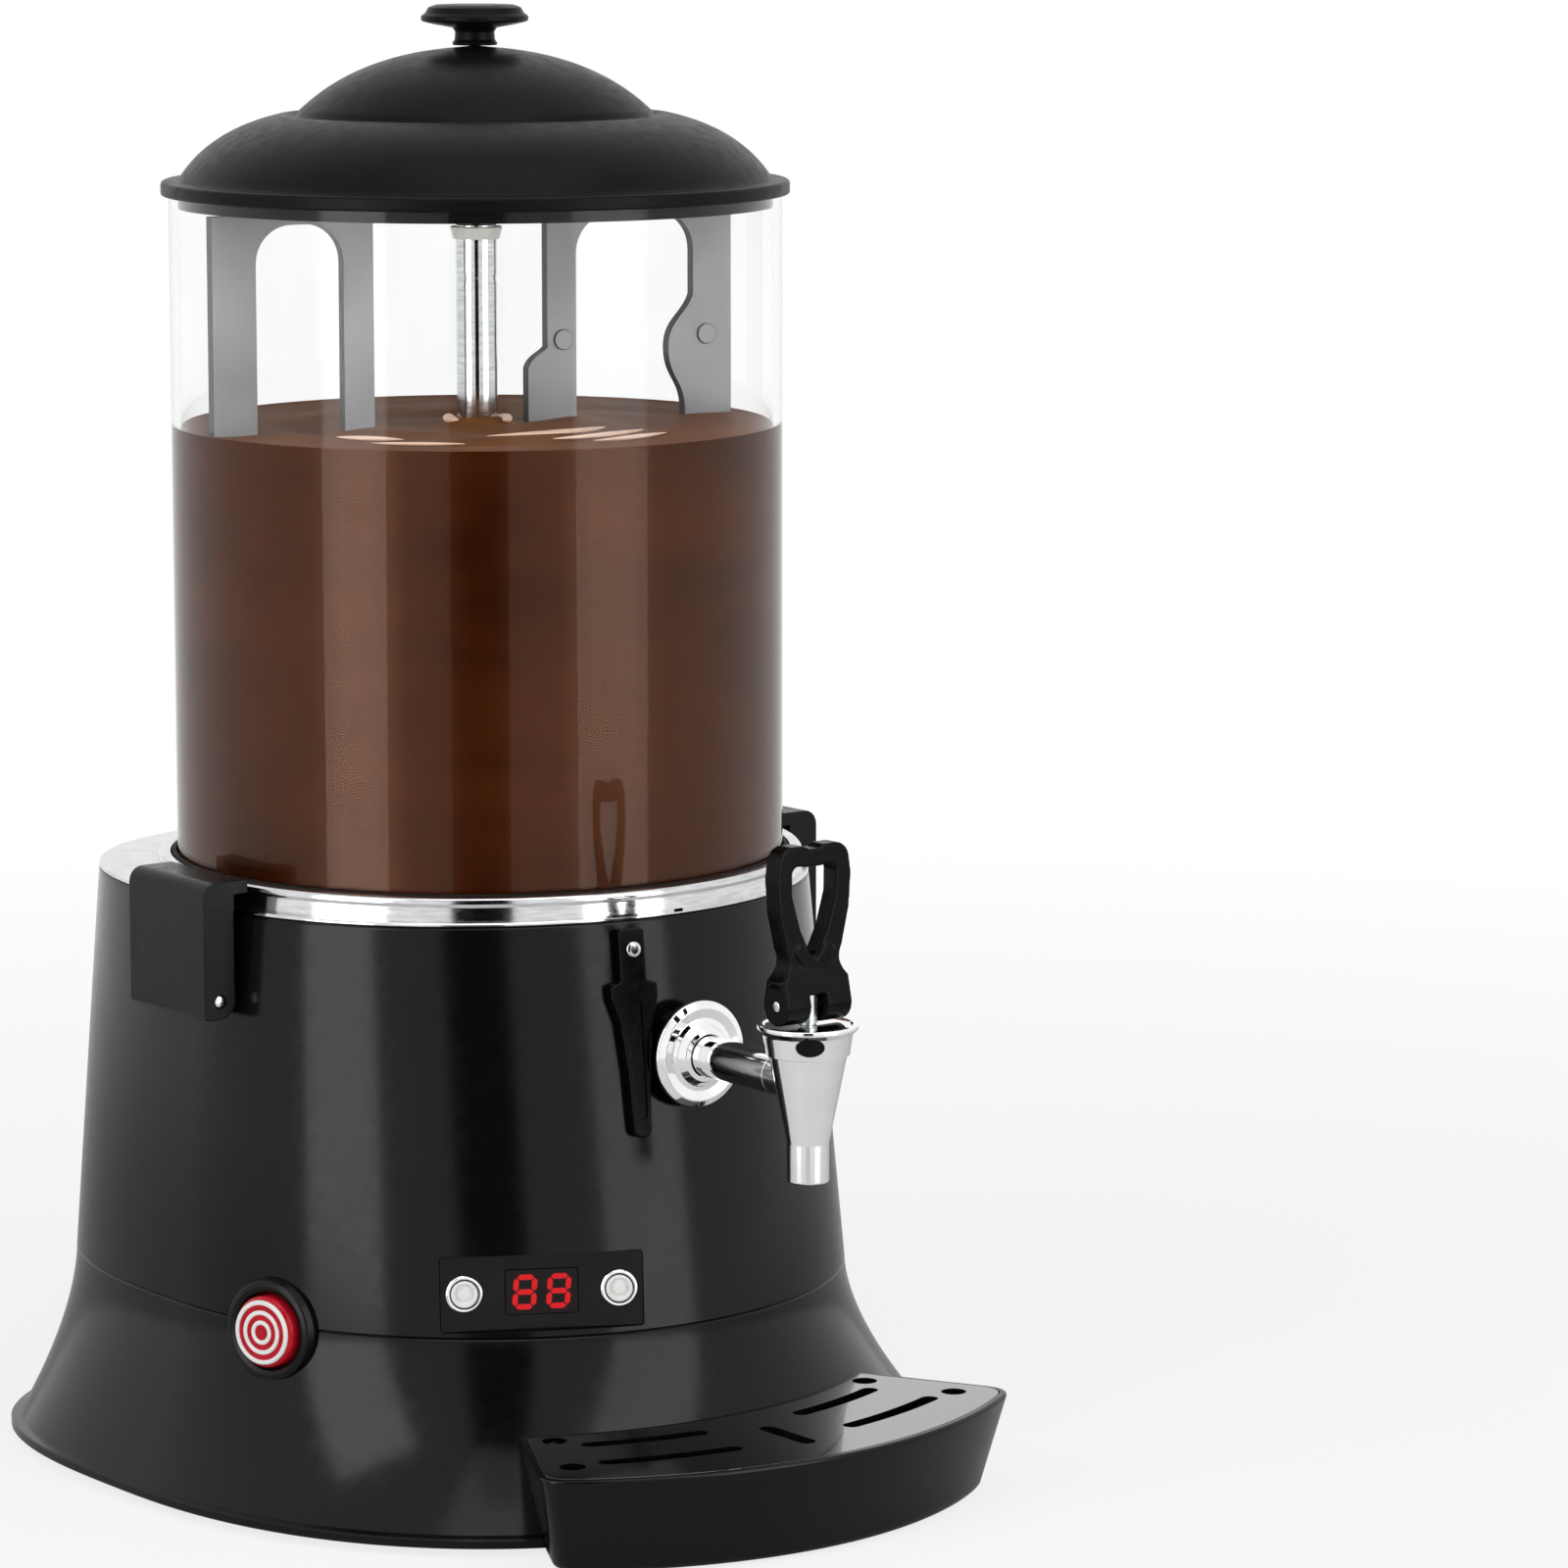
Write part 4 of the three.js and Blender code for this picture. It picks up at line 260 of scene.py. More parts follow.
def through(name, radius, spot, reach, steps=64):  # a rod through the housing's skin
    return rod(name, radius, spot @ Vector((0, 0, -reach)), spot @ Vector((0, 0, reach)), steps)


# node trees that make what repeats
def newTree(name, inputs):  # a tree with named inputs, their identifiers and their sockets
    tree = bpy.data.node_groups.new(name, "GeometryNodeTree")
    names = {}
    for word, kind in {"Geometry": "Geometry", **inputs, "Finish": "Material"}.items():
        names[word] = tree.interface.new_socket(name=word, in_out="INPUT", socket_type="NodeSocket" + kind).identifier
    tree.interface.new_socket(name="Geometry", in_out="OUTPUT", socket_type="NodeSocketGeometry")
    return tree, names, addNode(tree, "NodeGroupInput").outputs


def endTree(tree, geometry, given):
    real = addNode(tree, "GeometryNodeRealizeInstances", {"Geometry": geometry})
    dressed = addNode(tree, "GeometryNodeSetMaterial", {"Geometry": real, "Material": given["Finish"]})
    addNode(tree, "NodeGroupOutput", {"Geometry": dressed})


def grown(name, tree, names, values, start=None):  # a mesh made by a node tree with named inputs
    piece = start or meshFrom(name, [(0, 0, 0)], [])
    change = piece.modifiers.new("grow", "NODES")
    change.node_group = tree
    for key, value in values.items():
        change[names[key]] = value
    piece.update_tag()
    return baked(piece)


# finishes: noise drives what varies over a surface, the shader's own sockets hold the rest
def newFinish(name, patterns, **surface):
    material = bpy.data.materials.new(name)
    material.use_nodes = True
    tree = material.node_tree
    shader = tree.nodes["Principled BSDF"]
    for key, value in surface.items():
        shader.inputs[key.replace("_", " ")].default_value = value
    place = addNode(tree, "ShaderNodeTexCoord").outputs["Object"]
    for target, (grain, detail, low, high, *more) in patterns.items():  # grain in mm
        grit, stretch = more or (0.5, (1, 1, 1))
        spot = addNode(tree, "ShaderNodeMapping", {"Vector": place, "Scale": stretch})
        noise = addNode(tree, "ShaderNodeTexNoise", {"Vector": spot, "Scale": 1000 / grain,
                                                     "Detail": detail, "Roughness": grit}).outputs["Fac"]
        if target == "Normal":  # a depth in mm and a strength
            bump = addNode(tree, "ShaderNodeBump", {"Height": noise, "Distance": low * 0.001, "Strength": high})
            tree.links.new(bump.outputs["Normal"], shader.inputs[target])
            continue
        ends = (0.0, 1.0) if target == "Base Color" else (low, high)
        made = addNode(tree, "ShaderNodeMapRange", {"Value": noise, "From Min": 0.3, "From Max": 0.7,
                                                    "To Min": ends[0], "To Max": ends[1]})
        if target == "Base Color":  # two colours
            made = addNode(tree, "ShaderNodeMix", {"Factor": made.outputs["Result"], "A": srgb(low), "B": srgb(high)},
                           data_type="RGBA")
        tree.links.new(made.outputs["Result"], shader.inputs[target])
    return material


def satin(name, dark, light, grain=0.9, rough=0.42, gloss=0.35):  # spark-eroded mould: fine grain, a soft gleam
    return newFinish(name, {"Base Color": (40, 3, dark, light), "Roughness": (5, 3, rough - 0.05, rough + 0.06),
                            "Normal": (grain, 2, 0.03, 0.5)}, IOR=1.49, Specular_IOR_Level=gloss)


def steel(name, dark, light, rough, brush=(1, 1, 1)):  # buffed metal: bright, clouded along the rolling direction
    return newFinish(name, {"Base Color": (9, 3, dark, light, 0.5, brush),
                            "Roughness": (2.5, 3, rough * 0.6, rough * 1.5, 0.6, brush),
                            "Normal": (1.2, 2, 0.004, 0.3, 0.5, brush)}, Metallic=1.0)


def cocoa(name, rough, gloss, dark, light):  # thick drinking chocolate: even brown, streaks that the stirrer draws
    return newFinish(name, {"Base Color": (60, 3, dark, light, 0.5, (0.5, 1, 2)),
                            "Roughness": (50, 1, rough - 0.015, rough + 0.015)},
                     IOR=1.45, Specular_IOR_Level=gloss, Specular_Tint=(1.0, 0.47, 0.25, 1.0))


def redLens(name, dark, light, glow=0.0):  # translucent red plastic over a lamp: deep colour, a lit core
    return newFinish(name, {"Base Color": (4, 2, dark, light)}, IOR=1.5, Roughness=0.08, Specular_IOR_Level=0.2,
                     Subsurface_Weight=0.2, Emission_Strength=glow, Emission_Color=srgb(dark))


finish = {
    # ABS from a polished tool: deep black, faint flow waves
    "housing": newFinish("mouldedAbsGloss", {"Base Color": (60, 2, "#070707", "#0b0b0b"),
                                             "Roughness": (6, 4, 0.12, 0.19), "Normal": (14, 1, 0.02, 0.35)},
                         IOR=1.5, Specular_IOR_Level=0.2),
    # the grille's face is wiped every day: a clear gloss over the black moulding
    "grille": newFinish("mouldedAbsPolished", {"Base Color": (50, 2, "#070707", "#0c0c0c"),
                                               "Roughness": (8, 3, 0.1, 0.17)},
                        IOR=1.5, Coat_Weight=1.0, Coat_Roughness=0.04),
    "lid": satin("mouldedPolypropyleneLid", "#090909", "#0f0f0f", 1.0, 0.36, 0.08),
    "lever": satin("mouldedNylonBlack", "#030303", "#070707", 0.8, 0.26, 0.1),
    # extruded clear tube: no tint of its own, only a hint of grey along its length
    "clear": newFinish("clearPolycarbonate", {"Base Color": (80, 1, "#fafbfb", "#ffffff")}, IOR=1.2, Roughness=0.0,
                       Transmission_Weight=1.0),
    "chrome": steel("chromedBrass", "#f0f1f1", "#f7f7f7", 0.05),
    "plate": steel("polishedStainlessSheet", "#c4c6c8", "#dedfe0", 0.1, (1, 1, 8)),
    "steel": steel("brushedStainlessSheet", "#9c9fa1", "#b6b9bb", 0.28, (1, 1, 14)),
    "cocoa": cocoa("drinkingChocolate", 0.19, 0.42, "#220a02", "#341505"),
    # painted light: the drink's top gets a lighter, matte copy of its brown; the sides keep the dark glossy one
    "cocoaLitTop": cocoa("drinkingChocolateLitTop", 0.5, 0.01, "#623a20", "#744a2b"),
    # painted highlight: a cream colour for the arcs on the drink, standing in for glints on its swirls
    "paintedGlint": satin("chocolatePaintedGlint", "#cfa58c", "#ecd0bd", 6, 0.3),
    "wing": satin("mouldedAcetalGrey", "#77777a", "#909093", 1.2, 0.35),
    # painted shade: a darker copy of the wing's grey, for its cut edges
    "wingEdgeShade": satin("acetalEdgePaintedShade", "#262628", "#343436", 1.2, 0.35),
    "white": satin("mouldedAcetalWhite", "#e6e6e4", "#f2f2f0", 1.0, 0.3),
    "pale": satin("mouldedAcetalPale", "#cfcfca", "#e2e2dd", 1.0, 0.35),
    "rubber": satin("siliconeRubberBlack", "#0b0b0b", "#131313", 0.7, 0.7, 0.2),
    "silicone": satin("siliconeRubberPale", "#a9a59c", "#c2beb5", 0.9, 0.6),
    "trim": satin("mouldedPhenolicBlack", "#060606", "#0c0c0c", 0.8, 0.3, 0.18),
    "lens": redLens("redPolycarbonateLens", "#a50d1c", "#c41a2c", 0.1),
    "screen": redLens("smokedRedAcrylic", "#0c0103", "#120204"),
    "digits": redLens("litSegmentRed", "#cc0e14", "#d0141a", 0.4),
    "board": newFinish("glassEpoxyBoard", {}, Roughness=0.4),
    # die-cast zinc, shot-blasted: grey, with a sandy grain
    "cast": newFinish("dieCastAlloy", {"Base Color": (1.2, 3, "#7d8083", "#9a9da0"),
                                       "Roughness": (1.2, 3, 0.42, 0.6), "Normal": (1.2, 3, 0.05, 0.6)},
                      Metallic=1.0),
}
boardTree = finish["board"].node_tree  # green solder resist over copper, in bricks 2 mm long
copper = addNode(boardTree, "ShaderNodeTexBrick", {
    "Vector": boardTree.nodes["Texture Coordinate"].outputs["Object"], "Scale": 500 / 2, "Color1": srgb("#1d5a31"),
    "Color2": srgb("#246b3b"), "Mortar": srgb("#6f8f5b")})
boardTree.links.new(copper.outputs["Color"], boardTree.nodes["Principled BSDF"].inputs["Base Color"])
print("finishes ready")


def settle(piece, body, look, slot, *nodes, smooth=33):  # into the row frame, dressed and riding its body
    piece.data.transform(toRow)
    piece.data.materials.clear()
    piece.data.materials.append(finish[look])
    piece.data.shade_smooth()
    piece.data.set_sharp_from_angle(angle=math.radians(smooth))
    flat = piece.modifiers.new("flatFaces", "WEIGHTED_NORMAL")  # wide faces stay flat beside their rounded edges
    flat.keep_sharp = True
    baked(piece)
    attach(piece, body)
    if nodes:
        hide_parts(*nodes)
    return piece


# every solid that is carried over gets its real finish, in case it shows
carried = {
    "steel": ["base_plate", "product_pan", "water_tank", "heating_element", "heater_clamp", "temperature_probe",
              "shaft_sleeve", "motor_bracket", "motor_screw_left", "motor_screw_right", "drive_shaft", "drive_pin",
              "pan_nut", "tap_stem", "tap_spring"],
    "silicone": ["shaft_seal", "tap_seat_cup"],
    "cast": ["gearmotor"],
    "board": ["control_board"],
    "trim": ["power_switch", "power_inlet"],
}
for kind, names in carried.items():
    for name in names:
        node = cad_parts[name]
        node.data.materials.clear()
        node.data.materials.append(finish[kind])

# housing: two shells that follow one oval plan
housing = {
    "wall": 3, "foot": 3, "seam": 74, "deck": 232, "lipHigh": 4, "lipOut": 1.5,
    "footPlan": (173.5, 189, 171.5), "seamPlan": (145, 151, 168.5), "topPlan": (134, 130, 158),
    "flarePower": 1.7, "footRound": (2.3, 3.0), "upperRound": (2.0, 2.7), "ledge": 12, "edge": 1.6, "mouth": 123,
    "around": 240,
}
# what the housing carries; seats give the angle from the front, the height and how deep a thing is let in
seats = {"panel": (26.2, 91.5, 6.2), "power": (69.5, 72), "catch": (10, 221), "inlet": (180, 40)}
vent = {"Count": 5, "Pitch": 10.0, "Width": 50.0, "Height": 4.0, "Depth": 60.0, "Lowest": 100.0}
latch = {"pivot": (143.7, 199), "round": 7.2, "knuckle": 5.3, "pin": 2.5, "hole": 2.8, "top": 246, "hook": 130.4}
panel = {"width": 79, "tall": 29, "thick": 2, "room": 0.3, "screen": (28, 17), "keyAt": 30.2, "key": 5.2,
         "keyHole": 5.8, "ring": 7.2}
catch = {"top": 8, "low": -73, "shoulder": -13, "width": 11, "wide": 20, "thick": 5, "screw": 3.2, "hole": 2.3}
power = {"lens": 14, "inside": 14.7, "sleeve": 16, "hole": 16.3, "bezel": 20.7, "ringsAt": 6.85}
lensRings = {"Rings": 3, "Step": 3.9, "Wire": 1.0}
tap = {"reach": 214, "height": 179.5, "nut": 14.5, "pipeHole": 8.3, "pivot": 210, "loopLow": 225, "loopTop": 271,
       "half": 17.8, "windowTurn": -35, "windowHeight": 195.5}


def planAt(height, grow=0):  # half width, front and rear reach, front and rear squareness
    h = housing
    if height >= h["seam"]:
        share = (height - h["seam"]) / (h["deck"] - h["seam"])
        sizes = [mix(a, b, share) + grow for a, b in zip(h["seamPlan"], h["topPlan"])]
        return sizes + list(h["upperRound"])
    share = ((h["seam"] - height) / (h["seam"] - h["foot"])) ** h["flarePower"]
    sizes = [mix(a, b, share) + grow for a, b in zip(h["seamPlan"], h["footPlan"])]
    return sizes + [mix(a, b, share) for a, b in zip(h["upperRound"], h["footRound"])]


def planRing(height, grow=0, shapeHeight=None):
    half, front, rear, frontRound, rearRound = planAt(height if shapeHeight is None else shapeHeight, grow)
    ring = []
    for i in range(housing["around"]):
        turn = 2 * math.pi * i / housing["around"]
        c, s = math.cos(turn), math.sin(turn)
        power, reach = (2 / frontRound, front) if s < 0 else (2 / rearRound, rear)
        ring.append((half * math.copysign(abs(c) ** power, c), reach * math.copysign(abs(s) ** power, s), height))
    return ring


def faceFrame(angle, height, sink=0):  # the housing's surface in a direction from the front, towards the left
    dx, dy = -math.sin(math.radians(angle)), -math.cos(math.radians(angle))

    def reachAt(z):
        half, front, rear, frontRound, rearRound = planAt(z)
        power, depth = (frontRound, front) if dy < 0 else (rearRound, rear)
        reach = ((abs(dx) / half) ** power + (abs(dy) / depth) ** power) ** (-1 / power)
        nx = math.copysign((abs(dx * reach) / half) ** (power - 1) / half, dx)
        ny = math.copysign((abs(dy * reach) / depth) ** (power - 1) / depth, dy)
        return reach, Vector((nx, ny, 0)).normalized()

    reach, flat = reachAt(height)
    lean = math.atan((reach - reachAt(height + 2)[0]) / 2)
    out = flat * math.cos(lean) + Vector((0, 0, math.sin(lean)))
    across = Vector((-flat.y, flat.x, 0))
    matrix = Matrix((across, out.cross(across), out)).transposed().to_4x4()
    matrix.translation = (dx * reach, dy * reach, height)
    return matrix @ shift(0, 0, -sink)


panelFrame, powerFrame, catchFrame, inletFrame = [faceFrame(*seat) for seat in seats.values()]
facingFront = spin(90, "X")  # local Z becomes -Y
alongTap = shift(0, 0, tap["height"]) @ facingFront


def makeLouvreTree():  # a column of long slots, for the cutter of the rear vents
    tree, names, given = newTree("ventSlots", {"Count": "Int", "Pitch": "Float", "Width": "Float", "Height": "Float",
                                               "Depth": "Float", "Lowest": "Float"})
    start = addNode(tree, "ShaderNodeCombineXYZ", {"Z": given["Lowest"]})
    step = addNode(tree, "ShaderNodeCombineXYZ", {"Z": given["Pitch"]})
    line = addNode(tree, "GeometryNodeMeshLine", {"Count": given["Count"], "Start Location": start,
                                                  "Offset": step})
    size = addNode(tree, "ShaderNodeCombineXYZ", {"X": given["Width"], "Y": given["Depth"], "Z": given["Height"]})
    slot = addNode(tree, "GeometryNodeMeshCube", {"Size": size})
    copies = addNode(tree, "GeometryNodeInstanceOnPoints", {"Points": line, "Instance": slot})
    endTree(tree, copies, given)
    return tree, names


def onPanel(name, wide, tall, corner, low, high):  # a plate round the panel's middle
    return upright(name, boxed(-wide / 2, -tall / 2, wide / 2, tall / 2, corner), low, high)


def makeLug(side):  # the knuckle that carries a latch
    (x, z), bulge = latch["pivot"], latch["knuckle"]
    outline = [(130, -bulge), (x, -bulge)] + arc(bulge, range(-75, 90, 15), (x, 0)) + [(x, bulge), (130, bulge)]
    lug = placed(upright("lug", outline, -9.7, 9.7), shift(0, 0, z) @ facingFront)
    return placed(lug, spin(180, "Z")) if side < 0 else lug


def makeUpperShell():
    h = housing
    seam, deck, wall, edge = h["seam"], h["deck"], h["wall"], h["edge"]
    rows = [(seam, -0.7), (seam + 0.7, 0)] + [(z, 0) for z in evenly(seam + 4, deck - 4, 26)]
    rows += [(deck - edge + up, across - edge) for across, up in arc(edge, evenly(0, 90, 5))]
    shell = stacked("upperShell", planRing, rows)
    hollow = stacked("hollow", planRing, [(z, -wall) for z in (seam - 2, seam + 60, deck - wall)])
    carve(shell, hollow, rod("mouth", h["mouth"], (0, 0, deck - 8), (0, 0, deck + 8), 128))
    boss = turnedPiece("boss", [(0, -14), (18.5, -14, 2), (16.5, 1.5, 2.5), (16, 3.5, 1.2), (0, 3.5)], 96,
                       shift(0, -planAt(tap["height"])[1], 0) @ alongTap)
    pocketWall = carve(block("pocketWall", (84, 34, 10), matrix=panelFrame),
                       stacked("keep", planRing, [(z, -0.2) for z in evenly(seam + 0.7, deck - 30, 12)]),
                       how="INTERSECT")
    carve(shell, boss, pocketWall, makeLug(-1), makeLug(1), how="UNION")
    gap = 2 * panel["room"]
    pocket = placed(onPanel("pocket", panel["width"] + gap, panel["tall"] + gap, 1.6, -2.1, 60), panelFrame)
    wiring = block("wiring", (73, 23, 60), matrix=panelFrame)
    pipe = rod("pipe", tap["pipeHole"], (0, -100, tap["height"]), (0, -170, tap["height"]))
    vents = grown("vents", *makeLouvreTree(), {**vent, "Finish": finish["housing"]})
    placed(vents, shift(0, 160, 0))
    x, z = latch["pivot"]
    pins = [rod("pinHole", latch["hole"], (side * x, -32, z), (side * x, 32, z), 24) for side in (-1, 1)]
    return carve(shell, pocket, wiring, through("powerHole", power["hole"], powerFrame, 24), pipe,
                 through("screw", catch["hole"], catchFrame, 8, 24), vents, *pins)


def makeLowerShell():
    h = housing
    foot, seam, wall, lip = h["foot"], h["seam"], h["wall"], h["lipOut"]
    low = foot + h["lipHigh"]
    rows = [(foot, lip - 0.6, foot), (foot + 0.6, lip, foot), (low - 0.8, lip, foot), (low - 0.2, lip - 0.5, foot),
            (low, 0)] + [(z, 0) for z in evenly(low + 1, seam - 0.7, 26)] + [(seam, -0.7)]
    shell = stacked("lowerShell", planRing, rows)
    inside = [(foot - 2, -wall, foot)] + [(z, -wall) for z in evenly(foot, seam - wall, 12)]
    mouth = stacked("mouth", planRing, [(z, -wall - h["ledge"]) for z in (seam - wall - 2, seam + 2)])
    carve(shell, stacked("hollow", planRing, inside), mouth)
    return carve(shell, through("powerHole", power["hole"], powerFrame, 24),
                 block("inletHole", (27.6, 20.6, 44), matrix=inletFrame),
                 block("seat", (50.6, 24.6, 22), (0, 0, 8.5), inletFrame))


settle(makeUpperShell(), "root", "housing", "housing", "upper_housing")
settle(makeLowerShell(), "root", "housing", "housing", "lower_base")
print("housing done")

# top plate, gasket and bowl
deck = {"plate": 1.5, "hole": 113, "collarIn": 124.5, "collarOut": 130, "collarTop": 243, "striker": (2.6, 24, 7.5),
        "strikerAt": (132, 236.4)}


def makeTopPlate():
    low, top = housing["deck"], housing["deck"] + deck["plate"]
    inside, outside, rim = deck["collarIn"], deck["collarOut"], deck["collarTop"]
    sheet = stacked("topPlate", planRing, [(low, -0.4, low), (low + 0.4, 0, low), (top - 0.5, 0, low),
                                           (top, -0.5, low)])
    collar = turnedPiece("collar", [(inside, low + 0.7), (outside, low + 0.7), (outside, top + 0.8, 0.8),
                                    (outside - 0.4, top + 6, 2), (outside, top + 7.2, 1.2),
                                    (outside - 0.6, rim, 1.5), (inside, rim, 1.2)], 192)
    x, z = deck["strikerAt"]
    strikers = [soften(block("striker", deck["striker"], (side * x, 0, z)), 0.4, 2) for side in (-1, 1)]
    carve(sheet, collar, *strikers, how="UNION")
    return carve(sheet, rod("hole", deck["hole"], (0, 0, low - 4), (0, 0, top + 4), 160))


settle(makeTopPlate(), "root", "plate", "polished_steel", "top_plate")
gasketLine = [(116.5, 235), (124.2, 235, 0.3), (124.2, 243.4, 0.8), (122.4, 243.4, 0.3), (122.4, 241.2),
              (123.9, 241.2), (123.9, 238), (116.5, 238)]
settle(turnedPiece("bowlGasket", gasketLine, 192), "root", "rubber", "rubber_black", "bowl_gasket")
bowl = {"radius": 122, "wall": 3.5, "foot": 123.8, "low": 238, "top": 508, "around": 256}
tubeLine = [(bowl["radius"] - bowl["wall"], bowl["low"]), (bowl["foot"], bowl["low"], 0.3), (bowl["foot"], 241, 0.5),
            (bowl["radius"], 241.2, 0.4), (bowl["radius"], bowl["top"], 1.2),
            (bowl["radius"] - bowl["wall"], bowl["top"], 1.2)]
bowlTube = settle(turnedPiece("bowlTube", tubeLine, bowl["around"]), "root", "clear", "clear_bowl", "bowl")
bowlTube.visible_shadow = False  # clear wall: the lamps reach the drink behind it

# the drink: its skin dips at the shaft and rises a little at the wall
drink = {"level": 413.5, "radius": 118.9, "swirl": 1.3, "collar": 3.2, "low": 176, "panRadius": 109, "shaft": 8.5,
         "around": 180, "rings": 60}


def makeDrink():
    d = drink
    wall, pan, shaft = d["radius"], d["panRadius"], d["shaft"]
    rings = []
    for radius in evenly(shaft, wall, d["rings"]):
        ring = []
        for k in range(d["around"]):
            turn = 2 * math.pi * k / d["around"]
            spiral = math.sin(2 * turn - radius * 0.11) * d["swirl"] * math.exp(-((radius - 48) / 34) ** 2)
            ripple = 0.5 * math.sin(3 * turn + radius * 0.2) * math.exp(-((radius - 70) / 30) ** 2)
            rise = d["collar"] * math.exp(-(radius - shaft) / 3.5) + 0.8 * math.exp(-(wall - radius) / 2)
            ring.append((radius * math.cos(turn), radius * math.sin(turn), d["level"] + spiral + ripple + rise))
        rings.append(ring)
    sides = [(wall, 400), (wall, 300), (wall, 238.3), (pan, 238.3), (pan, 180), (pan - 4, d["low"]),
             (shaft, d["low"]), (shaft, 300)]
    rings += [[(x, y, z) for x, y in arc(radius, fullTurn(d["around"]))] for radius, z in sides]
    return throughRings("drink", rings, looped=True)


drinkBody = settle(makeDrink(), "root", "cocoa", None, smooth=50)
drinkBody.data.materials.append(finish["cocoaLitTop"])
for face in drinkBody.data.polygons:  # the free surface takes the lighter copy: painted light on the drink's top
    if face.normal.z > 0.3 and face.center.z > 0.4:
        face.material_index = 1
# painted highlights: raised cream arcs on the drink stand in for the glints along the swirls the stirrer draws;
# radius, start, end and half width
paintedGlint = {"arcs": ((62, -122, -64, 1.7), (80, -104, -66, 1.4), (94, -97, -70, 1.2), (84, -166, -146, 1.3),
                  (97, -150, -128, 0.9), (13.5, -262, -176, 2.4), (13.5, -78, 8, 2.4)),
         "flat": 0.8, "rise": 1.2, "drift": 4}


def paintedGlintArc(radius, start, end, wide):
    middle = drink["level"] + paintedGlint["rise"] + (drink["collar"] * 0.3 if radius < 20 else 0)
    rings = []
    for share in evenly(0, 1, 32):
        turn = math.radians(mix(start, end, share))
        grow = max(wide * math.sin(math.pi * share) ** 0.7, 0.05)
        section = arc(grow, fullTurn(10), (radius - paintedGlint["drift"] * share, middle), grow * paintedGlint["flat"])
        rings.append([(out * math.cos(turn), out * math.sin(turn), z) for out, z in section])
    return throughRings("arc", rings)


settle(joined("frothLines", [paintedGlintArc(*row) for row in paintedGlint["arcs"]]), "root", "paintedGlint", None, smooth=60)
print("bowl done")

# lid and its knob
lid = {"base": 505.5, "seat": 508.3, "rim": 125, "top": 564, "thick": 3,
       "lower": ((117, 513), (112.5, 519.5), (102.5, 531.5), (78, 537)),
       "crown": ((70.2, 538.2), (60, 548), (42, 560.5), (8, 563.2))}


def makeLid():
    base, rim, top, thick = lid["base"], lid["rim"], lid["top"], lid["thick"]
    outside = [(122.7, base, 0.3), (rim, base, 0.9), (rim, 511, 1.6), (118.6, 511.3, 1.2)]
    groove = [(76.4, 537), (75, 536.4), (73.6, 535.6), (72.2, 535.5), (71, 536.3)]
    outside += bezier(*lid["lower"], 20) + groove + bezier(*lid["crown"], 22)
    inside = bezier(*[(x - thick, z - thick) for x, z in lid["lower"]], 14) + [(73, 532.4), (68.5, 532.6)]
    inside += bezier(*[(x - thick + 0.4, z - thick) for x, z in lid["crown"][:3]], (10.3, top - thick - 1), 14)
    inside += [(10.3, 494.5, 0.8), (5.3, 494.5, 0.3), (5.3, 502.5), (0, 502.5)]  # the boss for the shaft's pin
    skirt = [(115.5, lid["seat"] + 1.6), (115.5, 500.8, 0.6), (118.2, 500.8, 0.6), (118.2, 508.6), (122.7, 508.6)]
    whole = rounded(skirt + outside + [(0, top)], closed=False)
    return turnedPiece("lidShell", [(0, top)] + whole[::-1][1:] + rounded(inside, closed=False), 192)


settle(makeLid(), "lid", "lid", "lid_plastic", "lid", smooth=40)
knobLine = [(0, 564.1), (9.6, 564.1, 0.8), (8.0, 566.3, 1.5), (7.8, 569.3, 1.2), (8.8, 571.0, 1), (16.6, 572.4, 2),
            (21.3, 573.6, 1.0), (21.3, 575.6, 1.1), (19.6, 576.8, 1.2), (18.4, 579, 1.5), (15.5, 580, 2), (0, 580)]
settle(turnedPiece("lidKnob", knobLine, 96), "lid", "lid", "lid_plastic", "lid_knob")
print("lid done")

# stirrer
wing = {"turn": -10, "inner": (46, 30), "innerStrip": 13, "outerStrip": 18, "outer": 114, "top": 499.5, "bridge": 4,
        "corner": 15, "foot": 192, "arm": 20, "panReach": 98, "widen": 247.5, "windowLow": 257, "half": 2.5,
        "bump": 441, "bumpOut": 11.5, "bumpSpan": 26, "shaft": 8.2, "hub": (8.4, 13, 226), "bore": 8.5,
        "windowRound": (13, 15)}
stirTurn = spin(wing["turn"], "Z")


def wingPlate(name, inner):
    w = wing
    reach, outer, corner, widen, foot = w["panReach"], w["outer"], w["corner"], w["widen"], w["foot"]
    outline = rounded([(w["shaft"], foot), (reach, foot, corner), (reach, widen - corner)], closed=False)
    outline += bezier((reach, widen - corner), (reach, widen), (outer, widen), (outer, widen + corner))[1:]
    outline += [(outer, w["top"]), (inner, w["top"]), (inner, foot + w["arm"]), (w["shaft"], foot + w["arm"])]
    left, right, low, high = inner + w["innerStrip"], outer - w["outerStrip"], w["windowLow"], w["top"] - w["bridge"]
    below, above = w["windowRound"]
    window = rounded([(left, low, below), (right, low, below), (right, high, above), (left, high, above)], steps=8)
    return carve(upright(name, outline, -w["half"], w["half"]), upright("window", window, -9, 9))


